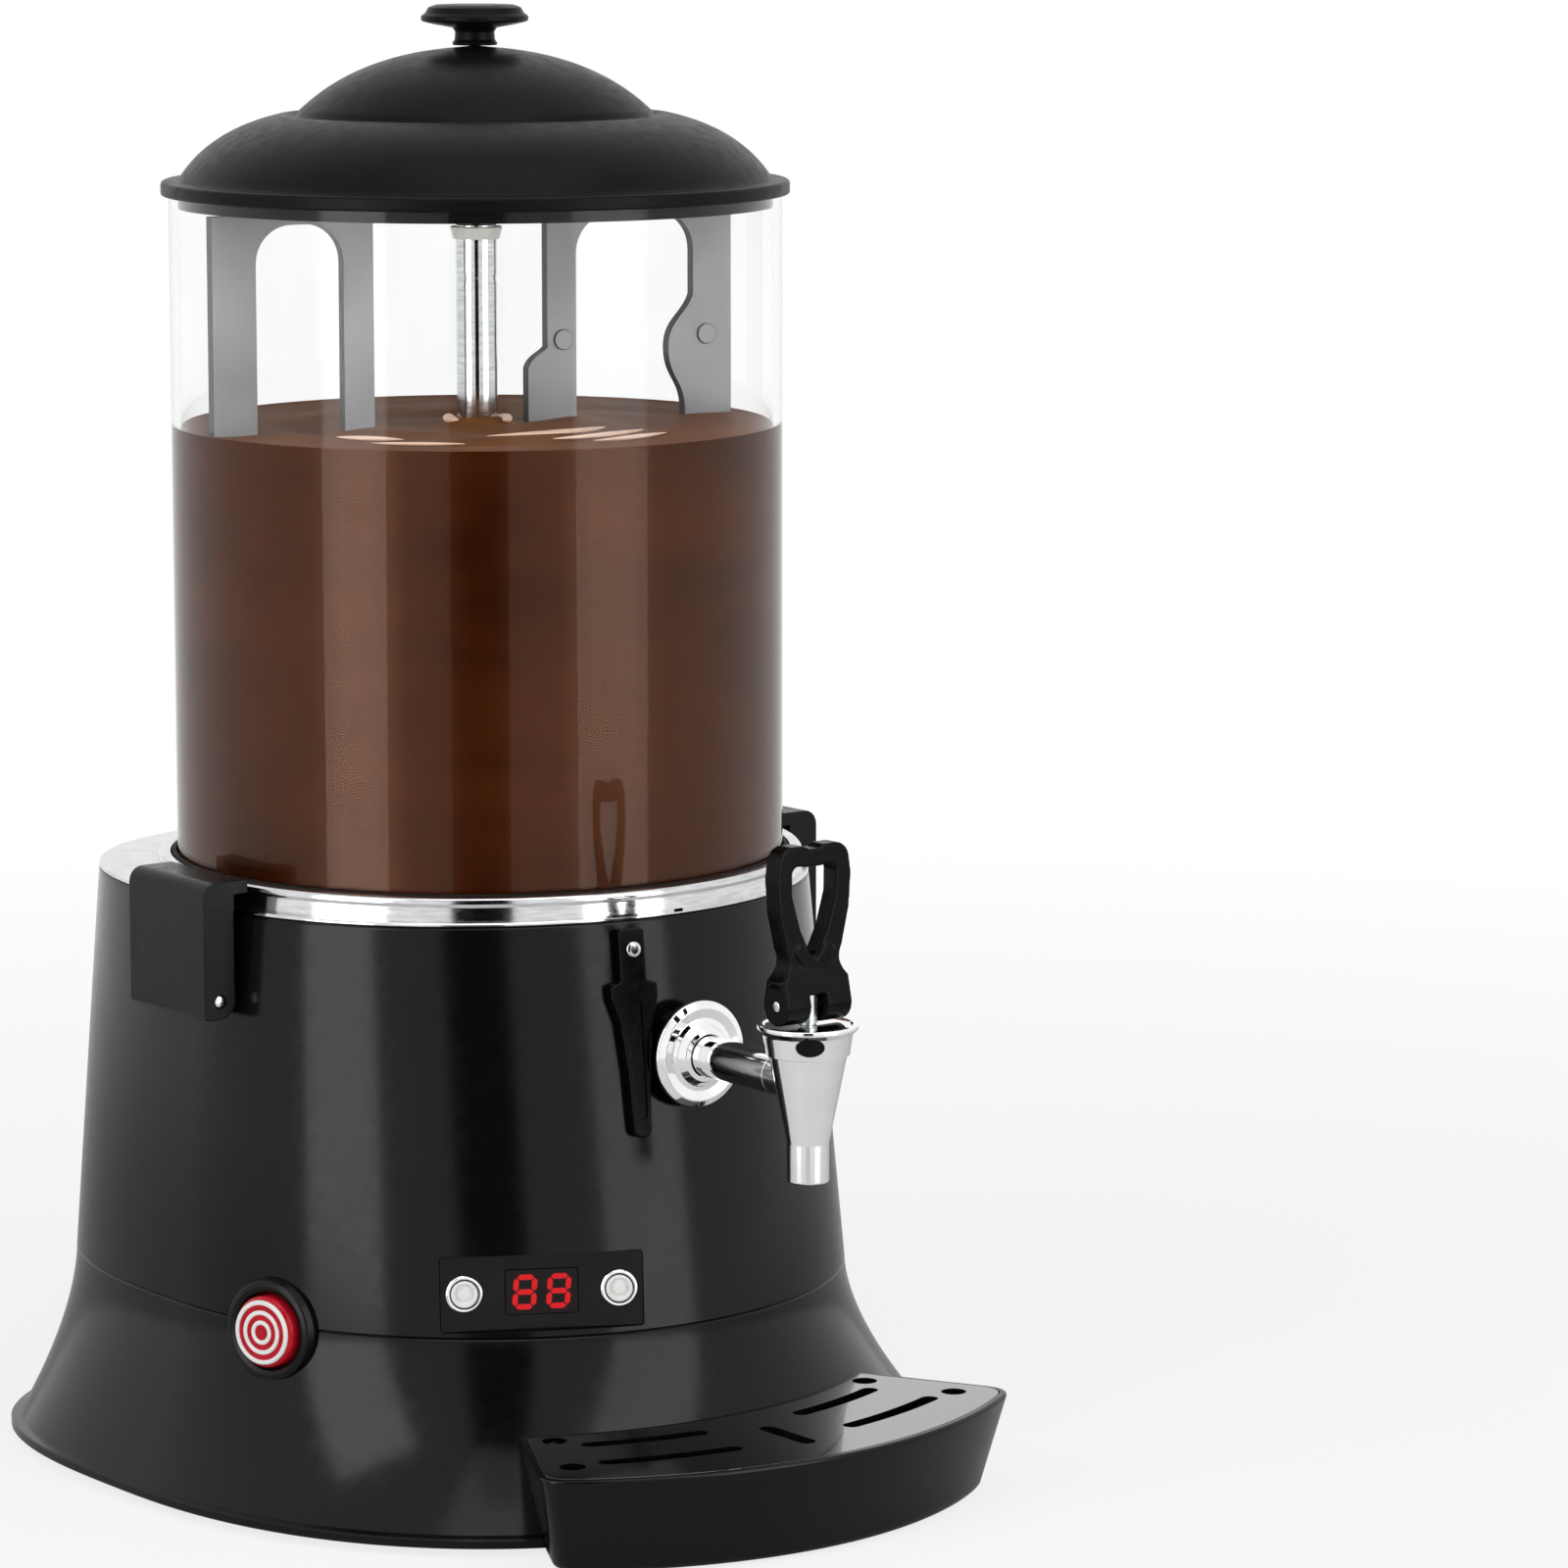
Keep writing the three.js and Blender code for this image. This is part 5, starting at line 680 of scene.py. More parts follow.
def makePaddle():
    w = wing
    first = placed(wingPlate("paddle", w["inner"][0]), spin(180, "Y"))
    inner = w["inner"][1]
    edge, z, out, span = w["outer"] - w["outerStrip"], w["bump"], w["bumpOut"], w["bumpSpan"]
    swell = bezier((edge + 1, z + span), (edge, z + span / 2), (edge - out, z + span / 2), (edge - out, z))
    swell += bezier((edge - out, z), (edge - out, z - span / 2), (edge - out / 3, z - span / 2),
                    (edge - out / 3, z - span))[1:]
    swell += bezier((edge - out / 3, z - span), (edge - out / 3, z - 1.5 * span),
                    (edge - out / 1.6, z - 1.4 * span), (edge - out / 1.6, z - 1.9 * span))[1:]
    swell += [(edge - 5, z - 2.6 * span), (edge + 1, z - 3 * span)]
    low = inner - 0.75 * out
    step = bezier((inner + 1, z + 4), (inner, z), (low + 2, z), (low, z - 6))
    step += [(low, z - 3 * span), (inner + 1, z - 4 * span)]
    extras = [upright(name, line, -w["half"], w["half"]) for name, line in (("swell", swell), ("step", step))]
    carve(first, wingPlate("second", inner), *extras, how="UNION")
    placed(first, facingFront)
    soften(first, 0.9, 3, 50)
    bosses = [turnedPiece("boss", [(0, 0.5), (4.2, 0.5), (4.2, 3.7, 0.6), (0, 3.7)], 40,
                          shift(x, 0, z + 5) @ facingFront) for x in (102, inner + 7)]
    bore, wide, high = w["hub"]
    hub = turnedPiece("hub", [(bore, w["foot"]), (wide, w["foot"], 1), (wide, high, 1), (bore, high)], 96)
    carve(first, *bosses, hub, how="UNION")
    carve(first, rod("bore", w["bore"], (0, 0, 180), (0, 0, 240), 96))
    return placed(first, stirTurn)


paddle = settle(makePaddle(), "stirrer", "wing", "paddle_plastic", "stirrer_paddle")
paddle.data.materials.append(finish["wingEdgeShade"])
acrossPlate = stirTurn.to_3x3() @ Vector((0, 1, 0))
for face in paddle.data.polygons:  # painted shade: the cut edges of the grey moulding get a darker copy of its grey, for the shade that falls on them
    if abs(face.normal.dot(acrossPlate)) < 0.75:
        face.material_index = 1
shaftLine = [(0, 198.3), (6.3, 198.3), (6.3, 173, 0.2), (8.2, 173, 0.6), (8.2, 470), (7.9, 472, 0.5), (8.2, 474),
             (8.2, 493.5, 0.5), (5, 493.5), (4.2, 501.5, 0.5), (0, 501.5)]
settle(turnedPiece("stirrerShaft", shaftLine, 96), "stirrer", "plate", "polished_steel", "stirrer_shaft")
capLine = [(8.35, 487.5), (9.2, 487.5, 0.4), (10.5, 492.5, 0.5), (8.35, 492.5, 0.3)]
settle(turnedPiece("shaftCap", capLine, 96), "stirrer", "pale", "pale_plastic", "shaft_cap")
print("stirrer done")

# tap
atTap = shift(0, -tap["reach"], 0)
windowFrame = spin(tap["windowTurn"], "Z") @ shift(0, 0, tap["windowHeight"]) @ facingFront


def makeTapNut():
    outer = tap["nut"] / math.cos(math.radians(30))
    hexagon = rounded([(x, y, 0.8) for x, y in arc(outer, range(30, 390, 60))], steps=3)
    nut = upright("tapNut", hexagon, 140.6, 145)
    cone = turnedPiece("cone", [(0, 130), (24, 130), (24, 143.2), (15.4, 145.2), (0, 145.2)], 96)
    carve(nut, cone, how="INTERSECT")
    carve(nut, rod("hole", tap["pipeHole"], (0, 0, 130), (0, 0, 150)))
    return placed(nut, alongTap)


def makeTapBody():
    body = turnedPiece("tapBody", [(0, 140.7), (5.5, 140.7, 0.5), (8.2, 140.7, 0.9), (8.2, 156, 2.5),
                                   (15, 189.8, 0.4), (15, 190), (0, 190)], 128)
    middle = tap["height"]
    carve(body, rod("stub", 8, (0, 18.2, middle), (0, 0, middle)), how="UNION")
    chamber = rod("chamber", 10, (0, 0, 166), (0, 0, 194), 96)
    throat = rod("throat", 5.5, (0, 0, 138), (0, 0, 168))
    return placed(carve(body, chamber, throat, rod("bore", 5.5, (0, 24, middle), (0, 0, middle))), atTap)


def makeBonnet():
    line = [(3.3, 186), (9.7, 186), (9.7, 190), (16, 190, 0.3), (16.4, 193, 1), (17.2, 198, 1.5), (19.3, 200.2, 0.8),
            (19.3, 202, 0.7), (17.2, 202, 0.5), (16.4, 201.4), (3.3, 201.4)]
    window = placed(upright("window", arc(5.6, fullTurn(40), tall=3.6), 13.2, 30), windowFrame)
    return placed(carve(turnedPiece("tapBonnet", line, 128), window), atTap)


def makeLever():  # a moulding: its forms are joined and their edges drawn soft
    half, low, high, pivot = tap["half"], tap["loopLow"], tap["loopTop"], tap["pivot"]

    def mirrored(right):
        return rounded(right + [(-x, *rest) for x, *rest in right][::-1], steps=8)

    outer = mirrored([(12.4, low - 1), (13.6, low + 7, 6), (16.9, low + 21, 14), (half, high - 12, 10),
                      (half - 1.8, high, 6.5), (4.5, high - 0.2, 4), (2, high - 1.6, 4)])
    hole = mirrored([(1.4, low + 4, 1.2), (6.4, low + 14, 14), (10.2, low + 27, 14), (10.4, high - 7.4, 3.6),
                     (3.4, high - 8.4, 3)])
    lever = carve(upright("tapLever", outer, -4, 4), upright("hole", hole, -9, 9))
    side = arc(7.7, range(180, 361, 12), (0, pivot)) + [(4, 226), (-4, 226)]
    hub = placed(upright("hub", side, -15.5, 15.5), spin(90, "Y") @ spin(90, "Z"))
    lobes = [turnedPiece("lobe", [(0, -4), (7.2, -4, 1), (7.2, 4, 1), (0, 4)], 48, shift(x, 221, 0))
             for x in (-9.5, 9.5)]
    crossing = [placed(upright("strip", boxed(-2.6, -13, 2.6, 13, 2), -4.6, 4.6), shift(0, 222, 0) @ spin(lean, "Z"))
                for lean in (-38, 38)]
    carve(lever, *lobes, *crossing, how="UNION")
    placed(lever, facingFront)
    carve(lever, hub, how="UNION")
    waist = [rod("waist", 9, (x, -30, 227), (x, 30, 227)) for x in (-21.3, 21.3)]
    carve(lever, block("slot", (8, 40, 16), (0, 0, 206)), block("pocket", (8, 26, 16), (0, 8.5, 210)), *waist)
    voxels = lever.modifiers.new("moulded", "REMESH")
    voxels.mode = "VOXEL"
    voxels.voxel_size = 0.45
    smoother = lever.modifiers.new("smooth", "SMOOTH")
    smoother.factor = 0.5
    smoother.iterations = 6
    baked(lever)
    carve(lever, rod("pin", 2.5, (-40, 0, pivot), (40, 0, pivot), 32))
    return placed(lever, atTap)


settle(makeTapNut(), "root", "chrome", "polished_steel", "tap_nut")
flangeLine = [(8.4, 145), (21, 145, 0.4), (21, 146.8, 0.9), (18.2, 148.3, 1.2), (14.2, 147.7, 1), (12.4, 148.5, 0.6),
              (10.4, 151.2, 1), (8.4, 152, 0.3)]
settle(turnedPiece("tapFlange", flangeLine, 128, alongTap), "root", "chrome", "polished_steel", "tap_flange")
pipeLine = [(5.5, 102.5), (8, 102.5, 0.3), (8, 195.7, 0.2), (5.5, 195.7)]
settle(turnedPiece("tapPipe", pipeLine, 96, alongTap), "root", "chrome", "polished_steel", "tap_shank")
settle(makeTapBody(), "root", "chrome", "polished_steel", "tap_body")
settle(makeBonnet(), "root", "chrome", "polished_steel", "tap_bonnet")
# painted shade: a black plate fills the bonnet's window, standing in for the shade inside the bonnet
inset = placed(upright("bonnetWindow", arc(5.4, fullTurn(40), tall=3.4), 13, 15.8), atTap @ windowFrame)
settle(inset, "root", "trim", "black_trim")
settle(makeLever(), "tap_handle", "lever", "lever_plastic", "tap_lever", smooth=60)
leverPin = turnedPiece("leverPin", [(0, -15.5), (2.2, -15.5, 0.5), (2.2, 15.5, 0.5), (0, 15.5)], 40,
                       shift(0, -tap["reach"], tap["pivot"]) @ spin(90, "Y"))
settle(leverPin, "tap_valve", "plate", "polished_steel", "tap_lever_pin")
print("tap done")


# front catch and side latches
def makeCatch():
    c = catch
    half, wide, shoulder = c["width"] / 2, c["wide"] / 2, c["shoulder"]
    right = [(half, c["top"], 1.6), (half, shoulder + 0.8, 1.2), (wide, shoulder - 0.6, 1.4), (wide, shoulder - 6, 3),
             (half + 1.2, shoulder - 16, 5), (half - 0.8, -48, 6), (3.6, c["low"], 3)]
    outline = rounded([(-x, y, r) for x, y, r in right][::-1] + right)[::-1]
    plate = soften(upright("catchLever", outline, 0.3, 0.3 + c["thick"]), 0.9)
    ridge = rounded([(-2.2, -66, 2), (2.2, -66, 2), (2.6, -20, 2), (-2.6, -20, 2)])
    carve(plate, upright("groove", ridge, 4.5, 8))
    carve(plate, rod("hole", c["hole"], (0, 0, -2), (0, 0, 9), 40))
    return placed(plate, catchFrame)


settle(makeCatch(), "front_catch", "lever", "lever_plastic", "catch_lever")
screwLine = [(0, -5), (2, -5), (2, 5.6), (catch["screw"], 5.6, 0.3), (3.0, 6.6, 0.7), (1.8, 7.2, 0.6), (0, 7.2)]
settle(turnedPiece("catchScrew", screwLine, 48, catchFrame), "root", "plate", "polished_steel", "catch_screw")


def makeLatch(side, name):
    (x, z), turn, top, hook = latch["pivot"], latch["round"], latch["top"], latch["hook"]
    outline = rounded([(x, z - turn), (x + turn, z - turn, 2.4), (x + turn, top, 6), (hook, top, 1.2),
                       (hook, 240.5, 0.5), (136.8, 240.5, 0.6), (136.8, 206.2)], closed=False)
    outline += arc(turn, range(168, 262, 12), (x, z))
    arm = soften(placed(upright(name, outline, -26, 28), facingFront), 1.4, 4, 40)
    carve(arm, block("slot", (20, 20, 20), (139.3, 0, 194.6)), rod("pin", latch["hole"], (x, -40, z), (x, 40, z), 40))
    return placed(arm, Matrix.Scale(-1, 4, (1, 0, 0))) if side < 0 else arm


for side, word in ((-1, "left"), (1, "right")):
    settle(makeLatch(side, "latch" + word.title()), f"latch_{word}_arm", "trim", "housing", f"latch_{word}")
    latchPin = turnedPiece("latchPin" + word.title(), [(0, 0), (latch["pin"], 0, 0.3), (latch["pin"], 54, 0.9),
                                                       (0, 54.3)], 40,
                           shift(side * latch["pivot"][0], 26, latch["pivot"][1]) @ facingFront)
    settle(latchPin, "root", "chrome", "polished_steel", f"latch_pin_{word}")
print("latches done")

# control panel: plate, key rings, display
digit = {"at": (-6.6, 6.6), "wide": 7.2, "tall": 11.4, "bar": 2.1, "gap": 0.3, "proud": 0.25, "slant": 0.08}


def makePanel():
    p = panel
    plate = onPanel("controlPanel", p["width"], p["tall"], 1.2, -p["thick"], 0)
    wide, tall = [side + 2 * p["room"] for side in p["screen"]]
    carve(plate, onPanel("screenHole", wide, tall, 0.8, -6, 6),
          *[rod("keyHole", p["keyHole"], (x, 0, -6), (x, 0, 6), 48) for x in (-p["keyAt"], p["keyAt"])])
    return placed(soften(plate, 0.3, 2, 50), panelFrame)


def makeDigits():  # two figures of seven lit bars each
    d = digit
    w, t, half = d["wide"] / 2, d["tall"] / 2, d["bar"] / 2
    places = ((1, 0, t), (1, 0, 0), (1, 0, -t), (0, -w, t / 2), (0, w, t / 2), (0, -w, -t / 2), (0, w, -t / 2))
    bars = []
    for centre in d["at"]:
        for flat, x, y in places:
            long = (w if flat else t / 2) - d["gap"]
            tip = [(-long, 0), (half - long, -half), (long - half, -half), (long, 0), (long - half, half),
                   (half - long, half)]
            outline = [((a if flat else b) + x, (b if flat else a) + y) for a, b in tip]
            outline = [(a + b * d["slant"] + centre, b) for a, b in outline]
            bars.append(upright("bar", outline, 0.4, 0.4 + d["proud"]))
    return placed(joined("displayDigits", bars), panelFrame)


settle(makePanel(), "root", "housing", "panel_gloss", "control_panel")
hole, ringOut, keyOut = panel["keyHole"], panel["ring"], panel["key"]
ringLine = [(hole, -1), (ringOut, -1), (ringOut, 0.6, 0.3), (ringOut - 0.5, 1, 0.3), (hole, 1, 0.2)]
keyLine = [(0, -3), (keyOut, -3), (keyOut, 1.8, 0.4), (4.0, 2, 0.3), (3.8, 0.9, 0.2), (2.5, 0.9, 0.2), (2.3, 2, 0.3),
           (0, 2)]
for x, word in ((-panel["keyAt"], "Left"), (panel["keyAt"], "Right")):
    keyFrame = panelFrame @ shift(x, 0, 0)
    settle(turnedPiece("keyRing" + word, ringLine, 64, keyFrame), "root", "chrome", "panel_gloss")
    settle(turnedPiece("key" + word, keyLine, 64, keyFrame), "panel_key_" + word.lower(), "white", "key_metal",
           "panel_button_" + word.lower())
screen = placed(onPanel("displayWindow", *panel["screen"], 0.6, -2.7, 0.4), panelFrame)
settle(screen, "root", "screen", "display_red", "display_window")
settle(makeDigits(), "root", "digits", "display_red")
print("panel done")


# power button
def makeBezel():
    inside, sleeve, wide = power["inside"], power["sleeve"], power["bezel"]
    line = [(inside, -16), (sleeve, -16), (sleeve, -6), (wide - 0.1, -6), (wide, 0.6, 1), (19.6, 3.4, 1.4),
            (17.4, 4, 1), (15.6, 3.4, 0.8), (inside, 2.2, 0.4)]
    bezel = turnedPiece("powerBezel", line, 128, powerFrame)
    heights = evenly(8, 73.9, 20) + evenly(74.1, 200, 8)
    carve(bezel, stacked("body", planRing, [(z, 0.15) for z in heights]))
    tube = turnedPiece("sleeve", [(inside, -16), (sleeve, -16), (sleeve, 2), (inside, 2)], 128, powerFrame)
    return carve(bezel, tube, how="UNION")


def makeRingTree():  # raised rings one inside the other, on the lens
    tree, names, given = newTree("lensRings", {"Rings": "Int", "Step": "Float", "Wire": "Float"})
    line = addNode(tree, "GeometryNodeMeshLine", {"Count": given["Rings"], "Start Location": (0, 0, 0),
                                                  "Offset": (0, 0, 0)})
    circle = addNode(tree, "GeometryNodeCurvePrimitiveCircle", {"Resolution": 72, "Radius": given["Step"]})
    index = addNode(tree, "GeometryNodeInputIndex")
    scale = addNode(tree, "ShaderNodeMath", {0: index, 1: 1.0}, operation="ADD")
    copies = addNode(tree, "GeometryNodeInstanceOnPoints", {"Points": line, "Instance": circle,
                                                            "Scale": scale})
    real = addNode(tree, "GeometryNodeRealizeInstances", {"Geometry": copies})
    section = addNode(tree, "GeometryNodeCurvePrimitiveCircle", {"Resolution": 10, "Radius": given["Wire"]})
    wire = addNode(tree, "GeometryNodeCurveToMesh", {"Curve": real, "Profile Curve": section})
    endTree(tree, wire, given)
    return tree, names


settle(makeBezel(), "root", "trim", "black_trim", "power_bezel")
lensLine = [(0, -13.2), (power["lens"], -13.2), (power["lens"], 5.4, 1.6), (12.4, 7.1, 2), (0, 7.3)]
settle(turnedPiece("powerButton", lensLine, 128, powerFrame), "power_key", "lens", "button_red", "power_button")
rings = grown("powerLensRings", *makeRingTree(), {**lensRings, "Finish": finish["white"]})
settle(placed(rings, powerFrame @ shift(0, 0, power["ringsAt"])), "power_key", "white", "button_red")
print("power button done")

# drip tray and grille
tray = {"rim": 39, "lift": 1, "corner": (115, 199), "front": 238, "footCorner": (104.5, 193.7), "footFront": 231,
        "rearX": 61.6, "footRearX": 53.9, "rearY": 100, "round": 10, "wall": 2.5, "clear": 0.6}
grille = {"slot": 7, "rows": (180, 207), "start": 8, "end": 22.3, "centre": (186, 217),
          "holes": ((76, 154), (93, 189)), "hole": 5, "inset": 2.8}


def trayRing(height, inset, shapeHeight=None):
    t = tray
    share = ((height if shapeHeight is None else shapeHeight) - t["lift"]) / (t["rim"] - t["lift"])
    cornerX = mix(t["footCorner"][0], t["corner"][0], share) - inset
    cornerY = mix(t["footCorner"][1], t["corner"][1], share) - inset / 2
    front = mix(t["footFront"], t["front"], share) - inset
    rearX = mix(t["footRearX"], t["rearX"], share) - inset
    sagitta = front - cornerY
    radius = (cornerX ** 2 + sagitta ** 2) / (2 * sagitta)
    sweep = math.asin(cornerX / radius) - t["round"] / radius
    back = t["round"] / math.hypot(cornerX - rearX, cornerY - t["rearY"])

    def onArc(a):
        return (radius * math.sin(a), radius - front - radius * math.cos(a))

    def corner(sign, count=10):
        a = (sign * mix(cornerX, rearX, back), -mix(cornerY, t["rearY"], back))
        b, c = onArc(sign * sweep), (sign * cornerX, -cornerY)
        return [tuple((1 - s) ** 2 * a[k] + 2 * s * (1 - s) * c[k] + s * s * b[k] for k in (0, 1))
                for s in evenly(0, 1, count)]

    bow = [onArc(sweep * (2 * i / 40 - 1)) for i in range(1, 40)]
    line = [(-rearX, -t["rearY"])] + corner(-1) + bow + corner(1)[::-1] + [(rearX, -t["rearY"])]
    return [(x, y, height) for x, y in line]


def housingBlock(name, grow, lip=True):  # the housing's form, grown, to cut away what would touch it
    foot, reach, lipTop = housing["foot"], housing["lipOut"] + grow, housing["foot"] + housing["lipHigh"] + grow
    heights = [1.0] + evenly(foot, housing["seam"] - 0.1, 24) + [80]
    body = stacked(name, planRing, [(z, grow, max(z, foot)) for z in heights])
    if lip:
        carve(body, stacked("lip", planRing, [(z, reach, foot) for z in (0, lipTop)]), how="UNION")
    return body


def makeTray():
    wall = tray["wall"]
    rows = [(1, 1.6, 1), (1.6, 0.5, 1), (3, 0)] + [(z, 0) for z in evenly(5, 35.6, 6)]
    rows += [(36.6, 0), (37.5, 0), (38.2, 0.2), (38.65, 0.55), (38.9, 1.0), (39, 1.5)]
    body = stacked("dripTray", trayRing, rows)
    deep = stacked("deep", trayRing, [(3.5, 4.5, 3.5), (4.1, 3.2, 4), (6, wall, 6), (41, 2 * wall, 39)])
    rebate = stacked("rebate", trayRing, [(36, wall), (41, wall, 39)])
    carve(deep, housingBlock("behind", 3.1))
    carve(rebate, housingBlock("behind", 3.1, False))
    return carve(body, deep, rebate, housingBlock("clear", tray["clear"]))


def makeSlotTree():  # one curved slot's cutter: a strip along an arc with a round end at each end
    tree, names, given = newTree("grilleSlot", {"Radius": "Float", "Start": "Float", "Sweep": "Float",
                                                "Width": "Float", "Depth": "Float"})
    bow = addNode(tree, "GeometryNodeCurveArc", {"Resolution": 28, "Radius": given["Radius"],
                                                 "Start Angle": given["Start"], "Sweep Angle": given["Sweep"]})
    width, depth = given["Width"], given["Depth"]
    flat = addNode(tree, "GeometryNodeCurvePrimitiveQuadrilateral", {"Width": width, "Height": depth})
    strip = addNode(tree, "GeometryNodeCurveToMesh", {"Curve": bow, "Profile Curve": flat,
                                                      "Fill Caps": True})
    half = addNode(tree, "ShaderNodeMath", {0: width, 1: 2.0}, operation="DIVIDE")
    end = addNode(tree, "GeometryNodeMeshCylinder", {"Vertices": 32, "Radius": half, "Depth": depth})
    dots = addNode(tree, "GeometryNodeCurveToPoints", {"Curve": bow, "Count": 2})
    copies = addNode(tree, "GeometryNodeInstanceOnPoints", {"Points": dots, "Instance": end})
    real = addNode(tree, "GeometryNodeRealizeInstances", {"Geometry": copies})
    both = addNode(tree, "GeometryNodeMeshBoolean", operation="UNION", solver="EXACT")
    tree.links.new(strip.outputs[0], both.inputs[1])
    tree.links.new(real.outputs[0], both.inputs[1])
    endTree(tree, both, given)
    return tree, names


def makeGrille():
    g = grille
    plate = stacked("dripGrille", trayRing, [(36, g["inset"]), (38.4, g["inset"], 38.4), (39, g["inset"] + 0.6, 39)])
    carve(plate, housingBlock("behind", 3.4, False))
    tree, names = makeSlotTree()
    cutters = []
    for radius in g["rows"]:
        for start in (g["start"] - 90, -90 - g["end"]):
            slot = grown("slot", tree, names, {
                "Radius": float(radius), "Start": math.radians(start), "Sweep": math.radians(g["end"] - g["start"]),
                "Width": float(g["slot"]), "Depth": 20.0, "Finish": finish["housing"]})
            cutters.append(placed(slot, shift(0, 0, 38)))
    low, high = g["centre"]
    cutters.append(upright("middle", boxed(-g["slot"] / 2, -high, g["slot"] / 2, -low, 3.4), 20, 60))
    cutters += [rod("hole", g["hole"], (x * s, -y, 20), (x * s, -y, 60), 40) for x, y in g["holes"] for s in (-1, 1)]
    return soften(carve(plate, *cutters), 1.1, 3, 50)


settle(makeTray(), "tray", "housing", "tray_gloss", "drip_tray")
settle(makeGrille(), "grille", "grille", "grille_gloss", "drip_grille")
print("tray done")

# feet and screws underneath
under = {"feet": ((-113, -112), (113, -112), (-113, 128), (113, 128)), "screwAngles": (50, 130, 230, 310), "inset": 8}


def makeCopyTree():  # one piece repeated on the vertices of a mesh
    tree, names, given = newTree("copiesOnPoints", {"Piece": "Object", "Size": "Float"})
    piece = addNode(tree, "GeometryNodeObjectInfo", {"Object": given["Piece"]})
    copies = addNode(tree, "GeometryNodeInstanceOnPoints", {
        "Points": given["Geometry"], "Instance": piece.outputs["Geometry"], "Scale": given["Size"]})
    endTree(tree, copies, given)
    return tree, names


copyTree, copyNames = makeCopyTree()


def repeated(name, sample, places, look):
    values = {"Piece": sample, "Size": 1.0, "Finish": finish[look]}
    made = grown(name, copyTree, copyNames, values, meshFrom(name, places, []))
    bpy.data.objects.remove(sample)
    return made


def screwSample():
    screw = turnedPiece("screw", [(0, 4), (2.6, 4, 0.3), (4, 5.2, 0.5), (4, 6), (2, 6), (2, 91), (0, 91)], 40)
    return carve(screw, *[block("cross", size, (0, 0, 4.2)) for size in ((4.4, 0.9, 1.4), (0.9, 4.4, 1.4))])


def screwSpot(angle):
    matrix = faceFrame(angle, housing["seam"])
    out = Vector((matrix[0][2], matrix[1][2], 0)).normalized()
    spot = matrix.translation - out * under["inset"]
    return (spot.x, spot.y, 0)


foot = turnedPiece("foot", [(0, 0), (12, 0, 0.8), (13, 1.4, 0.6), (13, 6, 0.3), (4, 6), (4, 7.5), (6, 7.5, 0.3),
                            (4.4, 10, 0.6), (0, 10)], 64)
settle(repeated("rubberFeet", foot, [(x, y, 0) for x, y in under["feet"]], "rubber"), "root", "rubber",
       "rubber_black", "foot_front_left", "foot_front_right", "foot_rear_left", "foot_rear_right")
screws = repeated("housingScrews", screwSample(), [screwSpot(a) for a in under["screwAngles"]], "steel")
settle(screws, "root", "steel", "steel_sheet", *[f"housing_screw_{i}" for i in (1, 2, 3, 4)])
print("underside done")

# floor, light and white surroundings; angles are counted from the camera's direction
studio = {"floor": 1.7, "fade": (0.4, 1.5), "around": 0.25, "whitened": 0.8, "cameraSide": -35.15,
          "aim": (0, 0.03, 0.28), "cardAway": 3.1}
lamps = {"leftSoftbox": {"angle": -46, "height": 0.75, "away": 2.0, "size": (0.95, 2.4), "watts": 25},
         "rightSoftbox": {"angle": 50, "height": 0.75, "away": 2.0, "size": (1.1, 2.4), "watts": 20},
         "topSoftbox": {"angle": 20, "height": 2.3, "away": 0.8, "size": (1.6, 1.6), "watts": 10}}


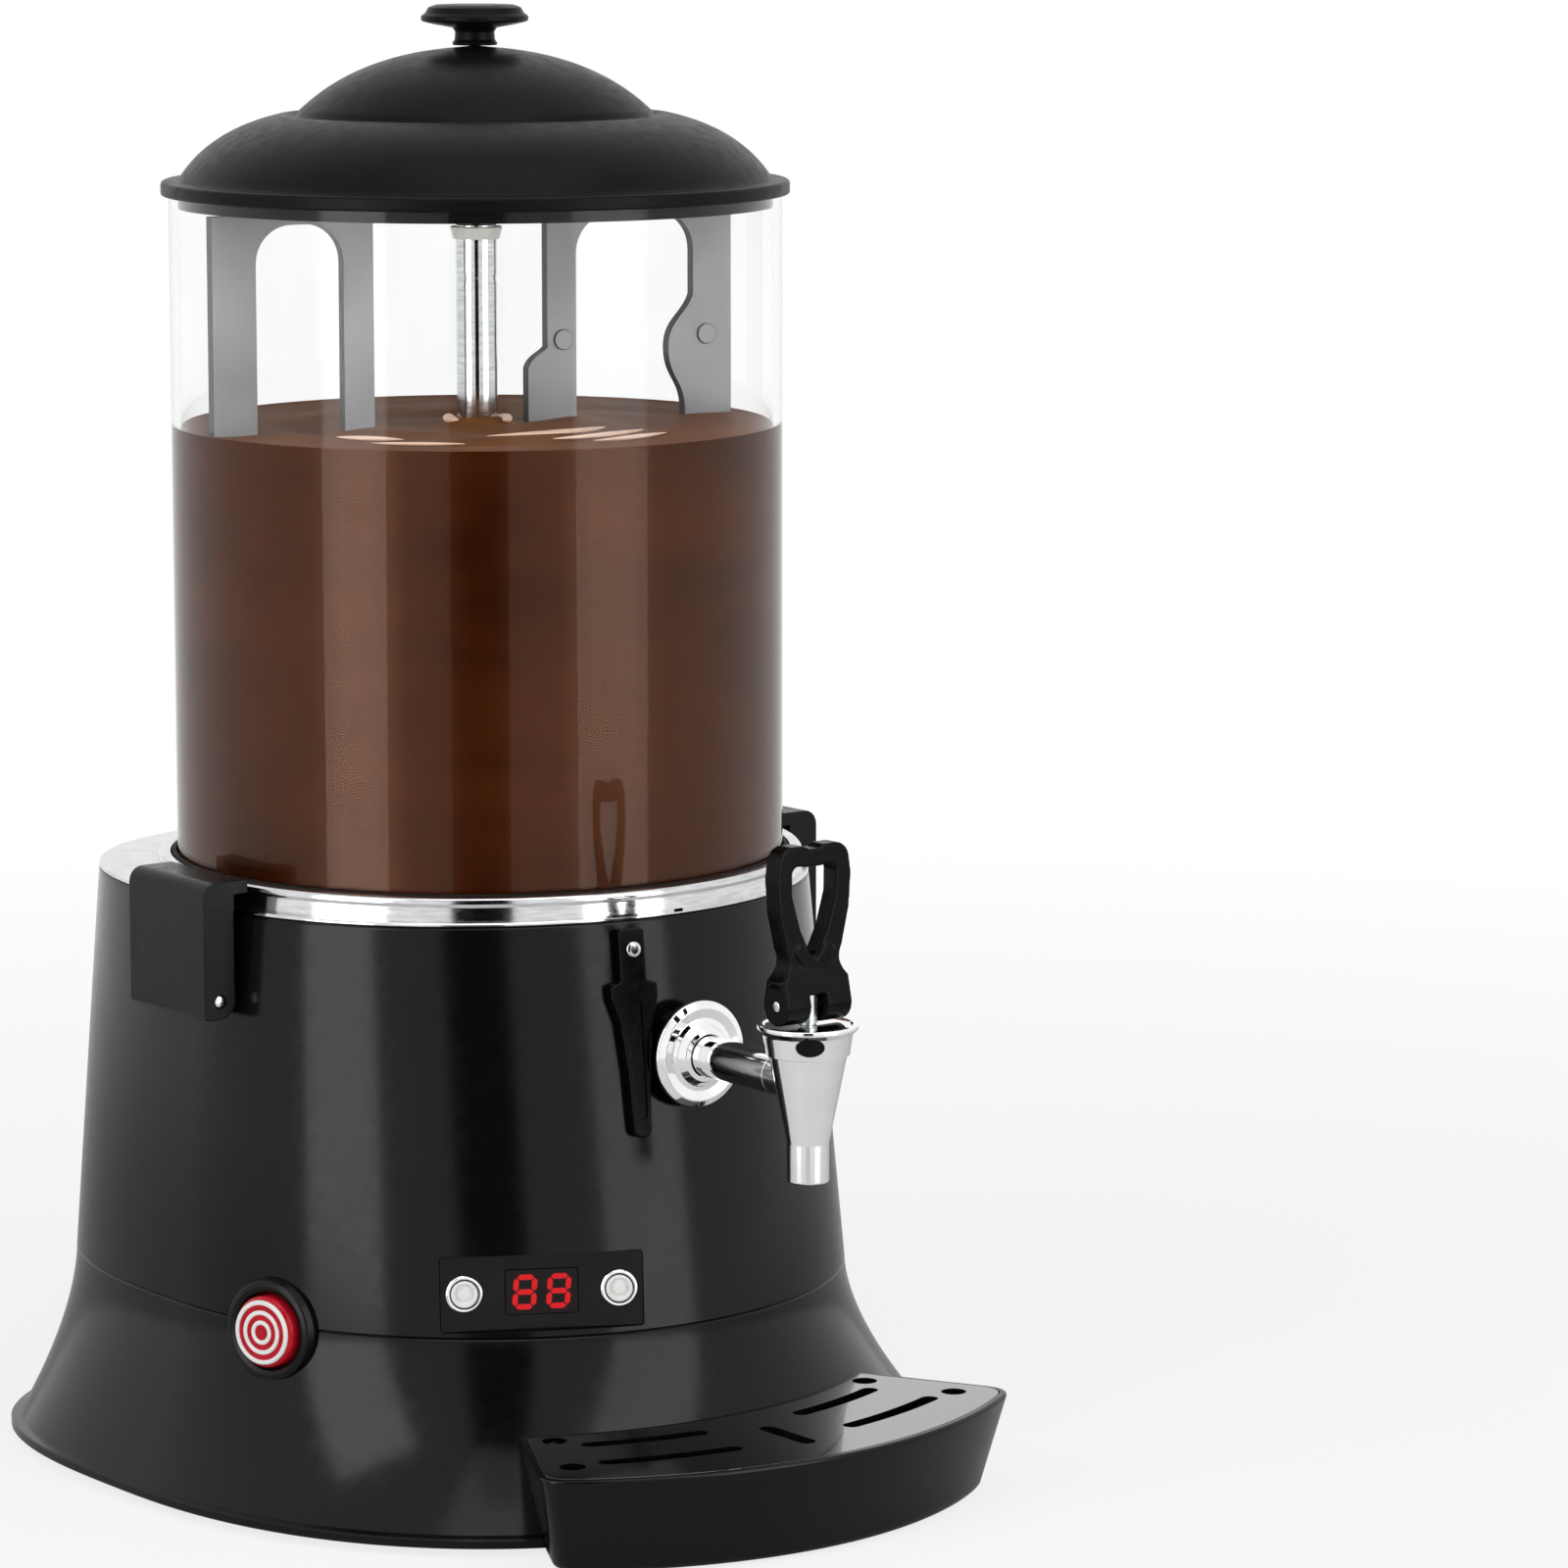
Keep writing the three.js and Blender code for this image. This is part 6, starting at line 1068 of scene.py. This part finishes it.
def makeFloor():
    wide = studio["floor"] * 1000
    disc = turnedPiece("studioFloor", [(0, -1.2), (wide, -1.2), (wide, -0.2), (0, -0.2)], 96, Matrix.Scale(0.001, 4))
    material = newFinish("paleStudioFloor", {}, Base_Color=srgb("#f7f7f7"), Roughness=0.7, Specular_IOR_Level=0.1)
    tree = material.node_tree
    place = tree.nodes["Texture Coordinate"].outputs["Object"]
    away = addNode(tree, "ShaderNodeVectorMath", {0: place}, operation="LENGTH")
    near, far = studio["fade"]
    share = addNode(tree, "ShaderNodeMapRange", {"Value": away.outputs["Value"], "From Min": near, "From Max": far,
                                                 "To Min": 0.0, "To Max": 1.0})
    clear = addNode(tree, "ShaderNodeBsdfTransparent")
    faded = addNode(tree, "ShaderNodeMixShader", {0: share, 1: tree.nodes["Principled BSDF"],
                                                  2: clear})
    seen = addNode(tree, "ShaderNodeLightPath").outputs["Is Camera Ray"]
    white = addNode(tree, "ShaderNodeEmission", {"Color": (1, 1, 1, 1), "Strength": 1.0})
    share = addNode(tree, "ShaderNodeMath", {0: seen, 1: studio["whitened"]}, operation="MULTIPLY")
    plain = addNode(tree, "ShaderNodeMixShader", {0: share, 1: faded, 2: white})
    tree.links.new(plain.outputs[0], tree.nodes["Material Output"].inputs["Surface"])
    disc.data.materials.append(material)


makeFloor()
for name, lamp in lamps.items():
    data = bpy.data.lights.new(name, "AREA")
    data.shape = "RECTANGLE"
    data.size, data.size_y = lamp["size"]
    data.energy = lamp["watts"]
    softbox = newObject(name, data)
    turn = math.radians(lamp["angle"] + studio["cameraSide"])
    aim = Vector(studio["aim"])
    softbox.location = (math.sin(turn) * lamp["away"], -math.cos(turn) * lamp["away"] + aim.y, lamp["height"])
    softbox.rotation_euler = (aim - softbox.location).to_track_quat("-Z", "Y").to_euler()

world = bpy.data.worlds.new("whiteStudio")
bpy.context.scene.world = world
world.use_nodes = True
sky = world.node_tree
sky.nodes.clear()
rays = addNode(sky, "ShaderNodeLightPath").outputs
seen = addNode(sky, "ShaderNodeMath", {0: rays["Is Camera Ray"], 1: rays["Is Transmission Ray"]}, operation="MAXIMUM")
shown = addNode(sky, "ShaderNodeMath", {0: seen, 1: rays["Is Glossy Ray"]}, operation="MAXIMUM")
level = addNode(sky, "ShaderNodeMix", {"Factor": shown, "A": studio["around"], "B": 1.0})
backdrop = addNode(sky, "ShaderNodeBackground", {"Color": (1, 1, 1, 1), "Strength": level.outputs["Result"]})
addNode(sky, "ShaderNodeOutputWorld", {"Surface": backdrop})

# a dark card behind the camera: only gloss sees it, as the unlit end of the studio
turn = math.radians(studio["cameraSide"])
card = block("darkCard", (1150, 4, 8000), (0, 0, 2500),
             shift(math.sin(turn) * studio["cardAway"], -math.cos(turn) * studio["cardAway"], 0.8)
             @ spin(studio["cameraSide"], "Z") @ Matrix.Scale(0.001, 4))
card.data.materials.append(newFinish("blackStudioCloth", {}, Base_Color=srgb("#000000"), Specular_IOR_Level=0.0))
card.visible_camera = card.visible_diffuse = card.visible_shadow = False

scene = bpy.context.scene
scene.view_settings.view_transform = "Standard"

print("scene done")
